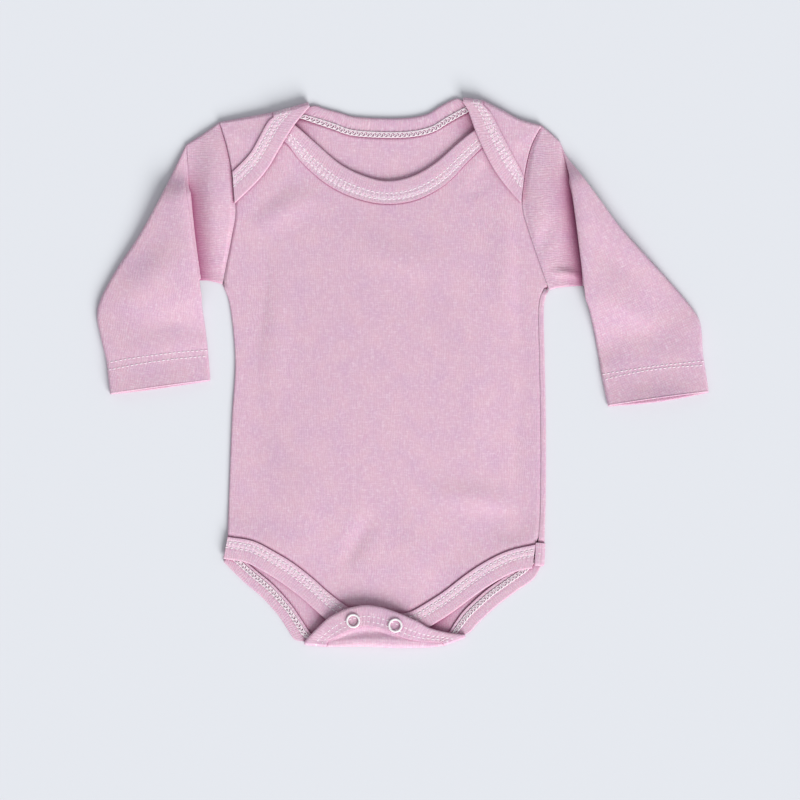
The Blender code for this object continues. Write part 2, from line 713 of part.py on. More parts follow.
def tuck_line(pleat: Pleat, places: np.ndarray):
    """Points along the edge of a tuck, and the direction across it towards the cuff."""
    ring = Ring(*pleat[:5])
    straight = np.array([[pleat.outer_x, pleat.outer_y, 0], [pleat.inner_x, pleat.inner_y, 0]])
    return ring_line(ring, places), -normals_towards(straight, MIDDLE)[0, :2]


def tuck_rings(pleat: Pleat) -> list:
    """The rings that carry a sleeve under its tuck's edge and back over it."""
    places, shares = across_sleeve(width_of(pleat))
    line, outward = tuck_line(pleat, places)
    paths = np.array([pleat_step(place, pleat.tuck, pleat.flat_share) for place in places])
    rings = []
    for step in range(paths.shape[1]):
        forward, rise, angle = paths[:, step].T
        middle = np.column_stack([line + outward * forward[:, None], SLEEVE_Z + rise])
        up = np.column_stack([-outward * np.sin(angle)[:, None], np.cos(angle)])
        rings.append(SleeveRing(middle, up, shares, WALL, GAP))
    return rings


def rise_over_tuck(pleat: Pleat, places: np.ndarray) -> np.ndarray:
    """How high the forearm is carried over the tuck, at places seen from above."""
    start = np.array([pleat.outer_x, pleat.outer_y])
    along = np.array([pleat.inner_x, pleat.inner_y]) - start
    length = np.linalg.norm(along)
    along /= length
    outward = tuck_line(pleat, np.zeros(1))[1]
    rises = []
    for place in places:
        down = (place - start) @ along
        share = min(1.0, max(0.0, down / length))
        path = pleat_step(share, pleat.tuck, pleat.flat_share)
        out = (place - start) @ outward - pleat.bow * math.sin(math.pi * share) * np.sign(outward[0])
        past = out - path[:, 0].max() - SLEEVE_Z - RISE_CLEAR
        below = down - length - SLEEVE_Z - RISE_CLEAR
        fade = (1 - smooth_step(past / RISE_FADE)) * (1 - smooth_step(below / RISE_FADE))
        rises.append(path[-1, 1] * fade)
    return np.array(rises)


def add_sleeve(name: str, armhole, upper, pleat: Pleat, forearm, hem, parts) -> None:
    """A flattened sleeve tube, open at the armhole and at the cuff."""
    rings = [armhole_ring(armhole)]
    for ring in upper:
        places, shares = across_sleeve(width_of(ring))
        rings.append(flat_ring(ring_line(ring, places), SLEEVE_Z, shares))
    rings += tuck_rings(pleat)
    for ring in (*forearm, hem[0]):
        places, shares = across_sleeve(width_of(ring))
        line = ring_line(ring, places)
        rings.append(flat_ring(line, SLEEVE_Z + rise_over_tuck(pleat, line), shares))
    for ring, gap in zip(hem[1:], (GAP, HEM_GAP)):
        places, shares = across_sleeve(width_of(ring))
        middle = HEM_WALL + gap / 2
        rings.append(flat_ring(ring_line(ring, places), middle, shares, HEM_WALL, gap))

    bm = bmesh.new()
    outside = []
    inside = []
    for ring in rings:
        half = ring.wall + ring.gap / 2
        outside.append([bm.verts.new(p) for p in sleeve_loop(ring.middle, ring.up, ring.shares, half)])
        ends = ring.middle[-1] - ring.middle[0]
        inset = ring.wall / np.linalg.norm(ends)
        slit = ring.middle * (1 - 2 * inset) + inset * (ring.middle[0] + ring.middle[-1])
        inside.append([bm.verts.new(p) for p in sleeve_loop(slit, ring.up, ring.shares, ring.gap / 2)])
    for loops, way in ((outside, 1), (inside, -1)):
        for first, second in zip(loops, loops[1:]):
            for a, b, c, d in zip(first, first[1:] + first[:1], second[1:] + second[:1], second):
                bm.faces.new((a, b, c, d)[::way])
    for outer, inner in ((outside[0], inside[0]), (outside[-1], inside[-1])):
        for a, b, c, d in zip(outer, outer[1:] + outer[:1], inner[1:] + inner[:1], inner):
            bm.faces.new((a, b, c, d))
    bmesh.ops.recalc_face_normals(bm, faces=bm.faces)
    add_object(name, bm, JERSEY_COLOUR, CLOTH_ROUGHNESS, parts)


def add_turned(name: str, profile, closed: bool, place, parts) -> None:
    """A turned piece: a profile of (radius, height) that runs down its outer side."""
    bm = bmesh.new()
    verts = [bm.verts.new((radius, 0.0, height)) for radius, height in profile]
    for a, b in zip(verts, verts[1:] + verts[:1] if closed else verts[1:]):
        bm.edges.new((a, b))
    made = add_object(name, bm, RING_COLOUR, RING_ROUGHNESS, parts)
    made.location = [value * MM for value in place]
    screw = made.modifiers.new("turn", "SCREW")
    screw.steps = ROUND_SEGMENTS
    screw.render_steps = ROUND_SEGMENTS
    screw.use_merge_vertices = True
    screw.merge_threshold = WELD * MM / 10
    made.data.shade_smooth()


def add_snap(side: str, place: Point, parts) -> None:
    """One fastened snap: the ring on the tab, the socket under it and the stud that it holds."""
    middle = (RING_RADIUS + RING_HOLE) / 2
    half = (RING_RADIUS - RING_HOLE) / 2
    ring = []
    for angle in np.linspace(0, 2 * math.pi, RING_PROFILE, endpoint=False):
        ring.append((middle + half * math.sin(angle), RING_HEIGHT / 2 * (1 + math.cos(angle))))
    add_turned(f"snap_ring_{side}", ring, True, (*place, TAB_BAND_TOP + GAP), parts)
    stud_z = FRONT_BAND_TOP + GAP + SNAP_CLEAR
    stud_top = STUD_BASE + STUD_POST_HEIGHT
    stud = (
        (0.0, stud_top),
        (STUD_POST_RADIUS, stud_top),
        (STUD_POST_RADIUS, STUD_BASE),
        (DISC_RADIUS, STUD_BASE),
        (DISC_RADIUS, 0.0),
        (0.0, 0.0),
    )
    add_turned(f"snap_stud_{side}", stud, False, (*place, stud_z), parts)
    socket = (
        (SOCKET_HOLE, SOCKET_HEIGHT),
        (DISC_RADIUS, SOCKET_HEIGHT),
        (DISC_RADIUS, 0.0),
        (SOCKET_HOLE, 0.0),
    )
    add_turned(f"snap_socket_{side}", socket, True, (*place, stud_z + STUD_BASE + GAP), parts)


def main() -> None:
    """Builds every piece of the garment."""
    for old in list(bpy.data.objects):
        bpy.data.objects.remove(old)
    parts = collection_for("baby_onesie")
    neck_band = add_back_neck_band(parts)
    leg_band = add_back_leg_band(parts)
    add_back_panel(neck_band, leg_band, parts)
    front_neck = raised(edges_of(FRONT_NECK, COLUMNS_FRONT_NECK))
    front_leg = edges_of(FRONT_LEG, COLUMNS_FRONT)
    add_band("front_neck_binding", front_neck, parts)
    add_band("front_leg_binding", front_leg, parts)
    add_front_panel(front_neck, front_leg, parts)
    add_sleeve("sleeve_left", LEFT_ARMHOLE, LEFT_UPPER, LEFT_PLEAT, LEFT_FOREARM, LEFT_HEM, parts)
    add_sleeve("sleeve_right", RIGHT_ARMHOLE, RIGHT_UPPER, RIGHT_PLEAT, RIGHT_FOREARM, RIGHT_HEM, parts)
    for side, place in SNAPS.items():
        add_snap(side, place, parts)


main()
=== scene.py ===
"""Looks for a long-sleeved baby onesie that lies flat with its front up.

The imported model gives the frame: +Z up, +X to the right as the front is seen and +Y towards the neck.
Sizes in the tables are in millimetres in that frame, and meshes are in metres.
"""

from __future__ import annotations

import logging
import math
from dataclasses import dataclass, field
from enum import Enum
from typing import Any, NamedTuple

import bmesh
import bpy
import numpy as np
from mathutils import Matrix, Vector

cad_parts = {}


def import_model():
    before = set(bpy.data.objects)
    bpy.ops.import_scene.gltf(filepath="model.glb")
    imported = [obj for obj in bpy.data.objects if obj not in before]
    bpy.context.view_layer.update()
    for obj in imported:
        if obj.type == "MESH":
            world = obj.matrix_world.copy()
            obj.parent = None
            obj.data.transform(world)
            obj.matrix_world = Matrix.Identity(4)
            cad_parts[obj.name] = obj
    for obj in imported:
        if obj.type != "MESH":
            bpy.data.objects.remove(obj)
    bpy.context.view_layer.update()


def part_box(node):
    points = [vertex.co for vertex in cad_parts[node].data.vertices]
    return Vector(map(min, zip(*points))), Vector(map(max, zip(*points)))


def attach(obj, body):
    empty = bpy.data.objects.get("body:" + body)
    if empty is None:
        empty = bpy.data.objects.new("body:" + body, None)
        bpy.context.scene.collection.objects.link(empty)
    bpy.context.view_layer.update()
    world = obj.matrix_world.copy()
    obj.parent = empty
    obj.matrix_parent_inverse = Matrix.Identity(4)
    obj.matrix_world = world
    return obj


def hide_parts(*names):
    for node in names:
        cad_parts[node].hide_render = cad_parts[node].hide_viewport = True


LOG = logging.getLogger("onesie")
MM = 0.001
GAP = 0.3
SEAM = 0.15  # what a pressed seam leaves between its pieces
WALL = 1.0
BAND = 2.0
BACK_Z = WALL / 2
FRONT_Z = WALL + GAP + WALL / 2
LAP_Z = 2 * (WALL + GAP) + WALL / 2
MIDDLE = (-10.0, 0.0)
FINE = 5  # how many times finer than the solid the cloth is divided
CURVE_STEPS = 24  # how finely a curve is drawn between two of its points before it is cut up
WELD = 0.01 * MM
SHELL_WELD = 0.02 * MM
BEAD_RINGS, BEAD_SIDES = 7, 8  # of a stitch
TUBE_SIDES = 6  # of a looper thread
CREASE_END = 0.35  # the share of its height that a crease keeps at its ends
NECK_STEPS = (130, 200, 16)  # of the back neck's strip: along a lap, along the neck, round a peak
LEG_STEPS = (150, 180, 16)  # of the back leg's strip: along a leg, along the tab, round a fold
FRONT_NECK_STEPS = 330
FRONT_LEG_STEPS = 420

Array = np.ndarray
Points = tuple[tuple[float, float], ...]


class Side(Enum):
    """The garment's sides, as its front is seen."""

    LEFT = "left"
    RIGHT = "right"


class Face(Enum):
    """The two faces of a strip, by which way they point along its middle surface's normals."""

    UPPER = 1.0
    UNDER = -1.0


class Section(NamedTuple):
    """A cut across a binding: its free edge, its seam edge and the height of its middle."""

    free_x: float
    free_y: float
    seam_x: float
    seam_y: float
    z: float


def sections(*rows: tuple[float, float, float, float, float]) -> tuple[Section, ...]:
    """The sections of a table."""
    return tuple(Section(*row) for row in rows)


class Ring(NamedTuple):
    """A cut across a flat sleeve: its outer and inner edge, and how far its middle bows."""

    outer_x: float
    outer_y: float
    inner_x: float
    inner_y: float
    bow: float = 0.0


class PaintedShadeSpot(NamedTuple):
    """A spot of painted shade in a deep place under other cloth: its middle, its radius and its strength."""

    x: float
    y: float
    radius: float
    strength: float


def linear(hex_colour: str) -> tuple[float, float, float, float]:
    """Turns an sRGB hex colour to linear RGBA.

    Args:
        hex_colour: six hex digits after a #.

    Returns:
        Red, green, blue and an alpha of 1, all linear.
    """
    values = [int(hex_colour[i : i + 2], 16) / 255 for i in (1, 3, 5)]
    made = [v / 12.92 if v <= 0.04045 else ((v + 0.055) / 1.055) ** 2.4 for v in values]
    return (made[0], made[1], made[2], 1.0)


def ease(value: Array | float) -> Array:
    """0 below 0, 1 above 1 and a soft slope between."""
    clipped = np.clip(value, 0.0, 1.0)
    return clipped * clipped * (3 - 2 * clipped)


def between(rows: Array, steps: int) -> Array:
    """Soft curves through rows of values.

    Args:
        rows: one row for each control place, of any further shape.
        steps: how many steps lie between two rows.

    Returns:
        The rows with steps - 1 more between each pair.
    """
    rows = np.asarray(rows, float)
    padded = np.concatenate([2 * rows[:1] - rows[1:2], rows, 2 * rows[-1:] - rows[-2:-1]])
    t = np.linspace(0, 1, steps, endpoint=False).reshape(-1, *[1] * (rows.ndim - 1))
    made = []
    for before, start, end, after in zip(padded, padded[1:], padded[2:], padded[3:]):
        made.append(
            start
            + 0.5 * t * (end - before)
            + t**2 * (before - 2.5 * start + 2 * end - 0.5 * after)
            + t**3 * (1.5 * (start - end) + 0.5 * (after - before))
        )
    return np.concatenate([*made, rows[-1:]])


def unit(rows: Array) -> Array:
    """Rows scaled to a length of one."""
    return rows / np.linalg.norm(rows, axis=-1, keepdims=True)


def run_of(line: Array) -> Array:
    """The distance travelled along a polyline up to each of its points."""
    return np.concatenate([[0], np.cumsum(np.linalg.norm(np.diff(line, axis=0), axis=1))])


def sampled(values: Array, run: Array, stops: Array) -> Array:
    """Rows of values at stops along the run that they belong to."""
    return np.column_stack([np.interp(stops, run, column) for column in values.T])


def resampled(line: Array, stops: Array) -> Array:
    """Points of a polyline at given distances along it."""
    return sampled(line, run_of(line), stops)


def smooth_line(points: Array | tuple, count: int) -> Array:
    """A soft curve through points.

    Args:
        points: rows of two or more values, which all count for the distance.
        count: how many equal steps it is cut into.

    Returns:
        count + 1 rows.
    """
    fine = between(np.array(points, float), CURVE_STEPS)
    run = run_of(fine)
    return sampled(fine, run, np.linspace(0, run[-1], count + 1))


def at_height(line: Array, z: Array | float) -> Array:
    """A line seen from above, put at a height."""
    return np.column_stack([line[:, 0], line[:, 1], np.broadcast_to(z, len(line))])


def sideways(line: Array, inside: Array | tuple[float, float]) -> Array:
    """Level directions across a line, on the side of one place or of one place for each point.

    Args:
        line: the line of points.
        inside: the place or places.

    Returns:
        The unit directions.
    """
    along = np.gradient(line[:, :2], axis=0)
    across = unit(np.column_stack([-along[:, 1], along[:, 0]]))
    sign = np.sign(((np.array(inside) - line[:, :2]) * across).sum())
    return np.column_stack([across * sign, np.zeros(len(line))])


def patch(first: Array, last: Array, start: Array, end: Array) -> Array:
    """A grid that fills four border lines.

    Args:
        first: the border along row 0.
        last: the border along the last row.
        start: the border down column 0.
        end: the border down the last column.

    Returns:
        Rows of points.
    """
    u = np.linspace(0, 1, len(first))[None, :, None]
    v = np.linspace(0, 1, len(start))[:, None, None]
    ruled = (1 - v) * first[None] + v * last[None] + (1 - u) * start[:, None] + u * end[:, None]
    corners = (1 - u) * ((1 - v) * first[0] + v * last[0]) + u * ((1 - v) * first[-1] + v * last[-1])
    return ruled - corners


def relaxed(grid: Array, rounds: int = 150) -> Array:
    """The grid with its inner points evened out, so that no corner of the border runs on into it.

    Args:
        grid: the rows of points.
        rounds: how often the inner points are evened out.

    Returns:
        The evened grid.
    """
    made = grid.copy()
    for _ in range(rounds):
        around = made[:-2, 1:-1] + made[2:, 1:-1] + made[1:-1, :-2] + made[1:-1, 2:]
        made[1:-1, 1:-1] = 0.5 * made[1:-1, 1:-1] + 0.125 * around
    return made


def section_ends(section: Section) -> Array:
    """The two ends of a section, seen from above."""
    return np.array([[section.free_x, section.free_y, 0.0], [section.seam_x, section.seam_y, 0.0]])


def past(section: Section, gap: float = SEAM) -> tuple[float, float]:
    """The place a gap past a section's seam edge, where the panel beside it ends."""
    away = gap * unit(np.array([section.seam_x - section.free_x, section.seam_y - section.free_y]))
    return section.seam_x + float(away[0]), section.seam_y + float(away[1])


def turned(
    edge: Array,
    low_z: float,
    high_z: Array | float,
    half: float,
    ends: tuple[Section | None, Section | None] = (None, None),
    steps: int = 14,
) -> Array:
    """Rows that carry a wall round a folded edge, from its lower layer to its upper one.

    Args:
        edge: the outermost line of the fold, seen from above.
        low_z: height of the lower layer's middle.
        high_z: height of the upper layer's middle, one value or one for each point.
        half: half of the wall's thickness.
        ends: for the first and the last point, the band section that it meets, if any.
        steps: how many steps the turn takes.

    Returns:
        steps + 1 rows of points.
    """
    radius = (np.broadcast_to(high_z, len(edge)) - low_z) / 2
    flat = at_height(edge, 0.0)
    normal = sideways(flat, MIDDLE)
    reach = len(edge) // 3
    for places, section in zip((range(reach), range(-1, -1 - reach, -1)), ends):
        if section is not None:
            target = sideways(section_ends(section), MIDDLE)[0]
            for step, place in enumerate(places):
                share = 1 - ease(step / reach)
                normal[place] = normal[place] * (1 - share) + target * share
    rows = []
    for angle in np.linspace(0, math.pi, steps + 1):
        row = flat + normal * (radius + half - radius * math.sin(angle))[:, None]
        row[:, 2] = low_z + radius * (1 - math.cos(angle))
        rows.append(row)
    return np.array(rows)


def edges_of(table: tuple[Section, ...], count: int) -> Array:
    """A band through a table of sections, as count + 1 pairs of points: free edge, then seam edge."""
    both = smooth_line(table, count)
    return np.stack([both[:, [0, 1, 4]], both[:, [2, 3, 4]]], axis=1)


def band_fold(section: Section, steps: int) -> Array:
    """Pairs of points that carry a band round a fold, from the surface up to a section."""
    return turned(section_ends(section), BAND / 2, section.z, BAND / 2, steps=steps)


def narrowed(section: Section, share: float) -> Section:
    """A section whose seam edge lies nearer its free edge, as it is drawn in by its seam.

    Args:
        section: the points of the free edge and of the seam edge.
        share: how much of the width is left.

    Returns:
        The narrower section.
    """
    seam_x = section.free_x + (section.seam_x - section.free_x) * share
    seam_y = section.free_y + (section.seam_y - section.free_y) * share
    return section._replace(seam_x=seam_x, seam_y=seam_y)


def as_section(pair: Array) -> Section:
    """The section that a pair of points makes."""
    return Section(pair[0][0], pair[0][1], pair[1][0], pair[1][1], pair[0][2])


def beside(band: Array, z: float | None = None, gap: float = SEAM) -> Array:
    """The edge of the panel that a band holds, a gap away from its seam edge.

    Args:
        band: the pairs of points of the band.
        z: its height, where it has one of its own.
        gap: the distance.

    Returns:
        The line of points.
    """
    edge = band[:, 1] - sideways(band[:, 1], band[:, 0, :2]) * gap
    edge[:, 2] = edge[:, 2] - (BAND - WALL) / 2 if z is None else z
    return edge


@dataclass(frozen=True)
class Crease:
    """A soft ridge, or with a negative height a trough, in cloth that lies flat."""

    start_x: float
    start_y: float
    end_x: float
    end_y: float
    bow: float
    width: float
    height: float

    def lift(self, x: Array, y: Array) -> Array:
        """The height that it adds at places seen from above.

        Args:
            x: places across the garment.
            y: places along it.

        Returns:
            One height for each place.
        """
        span = np.array([self.end_x - self.start_x, self.end_y - self.start_y])
        length = np.linalg.norm(span)
        ahead = span / length
        along = ((x - self.start_x) * ahead[0] + (y - self.start_y) * ahead[1]) / length
        side = (y - self.start_y) * ahead[0] - (x - self.start_x) * ahead[1]
        held = np.clip(along, 0, 1)
        off = side - self.bow * np.sin(np.pi * held)
        beyond = (along - held) * length
        fade = CREASE_END + (1 - CREASE_END) * np.sin(np.pi * held)
        return self.height * fade * np.exp(-(off**2 + beyond**2) / self.width**2)


def edge_distance(grid: Array) -> Array:
    """How far each point of a grid is from the grid's border, seen from above.

    Args:
        grid: the rows of points.

    Returns:
        The distance of each point.
    """
    border = np.concatenate([grid[0], grid[-1], grid[:, 0], grid[:, -1]])[:, :2]
    away = np.full(grid.shape[:2], np.inf)
    for place in border:
        away = np.minimum(away, np.linalg.norm(grid[..., :2] - place, axis=2))
    return away


def relief(creases: tuple[Crease, ...], x: Array, y: Array) -> Array:
    """The sum of creases at places seen from above."""
    return sum((crease.lift(x, y) for crease in creases), np.zeros(np.shape(x)))


def raise_creases(grid: Array, creases: tuple[Crease, ...], fade: float) -> None:
    """Adds creases to a grid, each fading out towards the grid's border."""
    grid[..., 2] += relief(creases, grid[..., 0], grid[..., 1]) * ease(edge_distance(grid) / fade)


def mesh_object(
    name: str, points: Array | list, faces: Array | list, grain: Array | None = None
) -> bpy.types.Object:
    """A smooth-shaded mesh object.

    Args:
        name: the piece's name.
        points: places in millimetres.
        faces: rows of point numbers.
        grain: for each point, its place in the cloth in millimetres: across the wales, then along them.

    Returns:
        The object, in the scene.
    """
    mesh = bpy.data.meshes.new(name)
    rows = faces.tolist() if isinstance(faces, np.ndarray) else faces
    mesh.from_pydata((np.asarray(points, float) * MM).tolist(), [], rows)
    made = bpy.data.objects.new(name, mesh)
    if grain is not None:
        flat = np.zeros((len(points), 3), np.float32)
        flat[:, : grain.shape[1]] = grain
        mesh.attributes.new("grain", "FLOAT_VECTOR", "POINT").data.foreach_set("vector", flat.ravel())
    mesh.validate()
    mesh.shade_smooth()
    bpy.context.scene.collection.objects.link(made)
    return made


def mark(piece: bpy.types.Object, name: str, values: Array) -> None:
    """Keeps a value from nothing to one at each point of a piece, for its material."""
    layer = piece.data.attributes.new(name, "FLOAT", "POINT")
    layer.data.foreach_set("value", np.asarray(values, np.float32).ravel())


def cleaned(piece: bpy.types.Object, weld: float = 0.0, dissolve: float = 0.0, orient: bool = True) -> None:
    """Cleans a mesh.

    Args:
        piece: the mesh's object.
        weld: points that are nearer than this are joined, if any.
        dissolve: edges that are shorter than this are dissolved, if any.
        orient: whether all its faces are turned outwards.
    """
    bm = bmesh.new()
    bm.from_mesh(piece.data)
    if weld:
        bmesh.ops.remove_doubles(bm, verts=bm.verts, dist=weld)
    if dissolve:
        bmesh.ops.dissolve_degenerate(bm, edges=bm.edges, dist=dissolve)
    if orient:
        bmesh.ops.recalc_face_normals(bm, faces=bm.faces)
    bm.to_mesh(piece.data)
    bm.free()


def grid_faces(rows: int, columns: int, start: int = 0, wrap: bool = False) -> Array:
    """Quads of a grid of points that are numbered row by row, wrapped round its rows if asked.

    Args:
        rows: how many rows there are.
        columns: how many points a row has.
        start: the number of the first point.
        wrap: whether each row closes on itself.

    Returns:
        Four point numbers for each quad.
    """
    numbers = start + np.arange(rows * columns).reshape(rows, columns)
    if wrap:
        numbers = np.column_stack([numbers, numbers[:, 0]])
    quads = np.stack([numbers[:-1, :-1], numbers[:-1, 1:], numbers[1:, 1:], numbers[1:, :-1]], axis=-1)
    return quads.reshape(-1, 4)


def shell(name: str, grids: list[Array], thickness: float) -> bpy.types.Object:
    """A wall of one thickness about grids that share borders, with the grain of cloth cut to the frame.

    Args:
        name: the piece's name.
        grids: rows of points in millimetres.
        thickness: the wall's thickness in millimetres.

    Returns:
        The object, with its wall applied.
    """
    points = np.concatenate([grid.reshape(-1, 3) for grid in grids])
    starts = np.cumsum([0, *(grid.shape[0] * grid.shape[1] for grid in grids)])
    faces = [grid_faces(*grid.shape[:2], start) for grid, start in zip(grids, starts)]
    made = mesh_object(name, points, np.concatenate(faces), points[:, :2])
    cleaned(made, SHELL_WELD, SHELL_WELD)
    wall = made.modifiers.new("wall", "SOLIDIFY")
    wall.thickness = thickness * MM
    wall.offset = 0.0
    applied = bpy.data.meshes.new_from_object(made.evaluated_get(bpy.context.evaluated_depsgraph_get()))
    made.modifiers.clear()
    made.data = applied
    made.data.shade_smooth()
    return made


def dress(piece: bpy.types.Object, material: bpy.types.Material) -> bpy.types.Object:
    """Gives a piece its material and lets it ride on the garment.

    Args:
        piece: the mesh object.
        material: what it is made of.

    Returns:
        The same piece.
    """
    piece.data.materials.clear()
    piece.data.materials.append(material)
    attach(piece, "root")
    return piece


def thread_stitches(name: str, spots: Array, long: float, wide: float, high: float) -> bpy.types.Object:
    """Short stitches, each a stretched bead of thread.

    Args:
        name: the piece's name.
        spots: for each stitch its middle, its direction and its upward side, as three points.
        long: a stitch's length.
        wide: its width.
        high: its height.

    Returns:
        One object that holds them all.
    """
    polar = np.linspace(0, np.pi, BEAD_RINGS)[:, None]
    turn = np.linspace(0, 2 * np.pi, BEAD_SIDES, endpoint=False)[None, :]
    round_off = np.sin(polar) ** 0.6
    sizes = (
        np.broadcast_to(-np.cos(polar), (BEAD_RINGS, BEAD_SIDES)) * long / 2,
        round_off * np.cos(turn) * wide / 2,
        round_off * np.sin(turn) * high / 2,
    )
    bead = np.stack(sizes, axis=-1).reshape(-1, 3)
    middle, along, up = spots[:, 0], spots[:, 1], spots[:, 2]
    axes = (along, np.cross(up, along), up)
    points = middle[:, None] + sum(bead[None, :, k, None] * axis[:, None] for k, axis in enumerate(axes))
    faces = grid_faces(BEAD_RINGS, BEAD_SIDES, wrap=True)
    faces = (faces[None] + np.arange(len(spots))[:, None, None] * len(bead)).reshape(-1, 4)
    made = mesh_object(name, points.reshape(-1, 3), faces, np.tile(bead[:, [1, 0]], (len(spots), 1)))
    cleaned(made, WELD, orient=False)
    return made


def thread_tube(name: str, paths: list[Array], radius: float) -> bpy.types.Object:
    """Thread that follows paths, as round tubes in one object.

    Args:
        name: the piece's name.
        paths: lines of points.
        radius: the thread's radius.

    Returns:
        The object.
    """
    turn = np.linspace(0, 2 * np.pi, TUBE_SIDES, endpoint=False)
    points, faces, grain = [], [], []
    for path in paths:
        along = unit(np.gradient(path, axis=0))
        side = np.cross(along, [0.0, 0.0, 1.0])
        side /= np.maximum(np.linalg.norm(side, axis=1), 1e-6)[:, None]
        up = np.cross(side, along)
        round_it = side[:, None] * np.cos(turn)[None, :, None] + up[:, None] * np.sin(turn)[None, :, None]
        faces.append(grid_faces(len(path), TUBE_SIDES, sum(map(len, points)), wrap=True))
        points.append((path[:, None] + radius * round_it).reshape(-1, 3))
        grain.append(np.column_stack([np.tile(turn, len(path)), np.repeat(run_of(path), TUBE_SIDES)]))
    return mesh_object(name, *map(np.concatenate, (points, faces, grain)))


class Graph:
    """The nodes of one material."""

    def __init__(self, name: str) -> None:
        """Starts a material that has no nodes yet."""
        self.material = bpy.data.materials.new(name)
        self.material.use_nodes = True
        self.tree = self.material.node_tree
        self.tree.nodes.clear()

    def add(self, kind: str, inputs: dict[str | int, Any] | None = None, **settings: Any) -> bpy.types.Node:
        """Adds a node with its settings and links.

        Args:
            kind: the node's type, without ShaderNode at its start.
            inputs: for a socket's name or number, a value, or a node or socket to link from.
            **settings: the node's own properties.

        Returns:
            The node.
        """
        node = self.tree.nodes.new("ShaderNode" + kind)
        for name, value in settings.items():
            setattr(node, name, value)
        for key, value in (inputs or {}).items():
            socket = node.inputs[key]
            if isinstance(value, bpy.types.Node):
                value = value.outputs[0]
            if isinstance(value, bpy.types.NodeSocket):
                self.tree.links.new(value, socket)
            else:
                socket.default_value = value
        return node

    def finish(self, shader: bpy.types.Node) -> bpy.types.Material:
        """Links the shader to the output and returns the material."""
        self.add("OutputMaterial", {"Surface": shader})
        return self.material


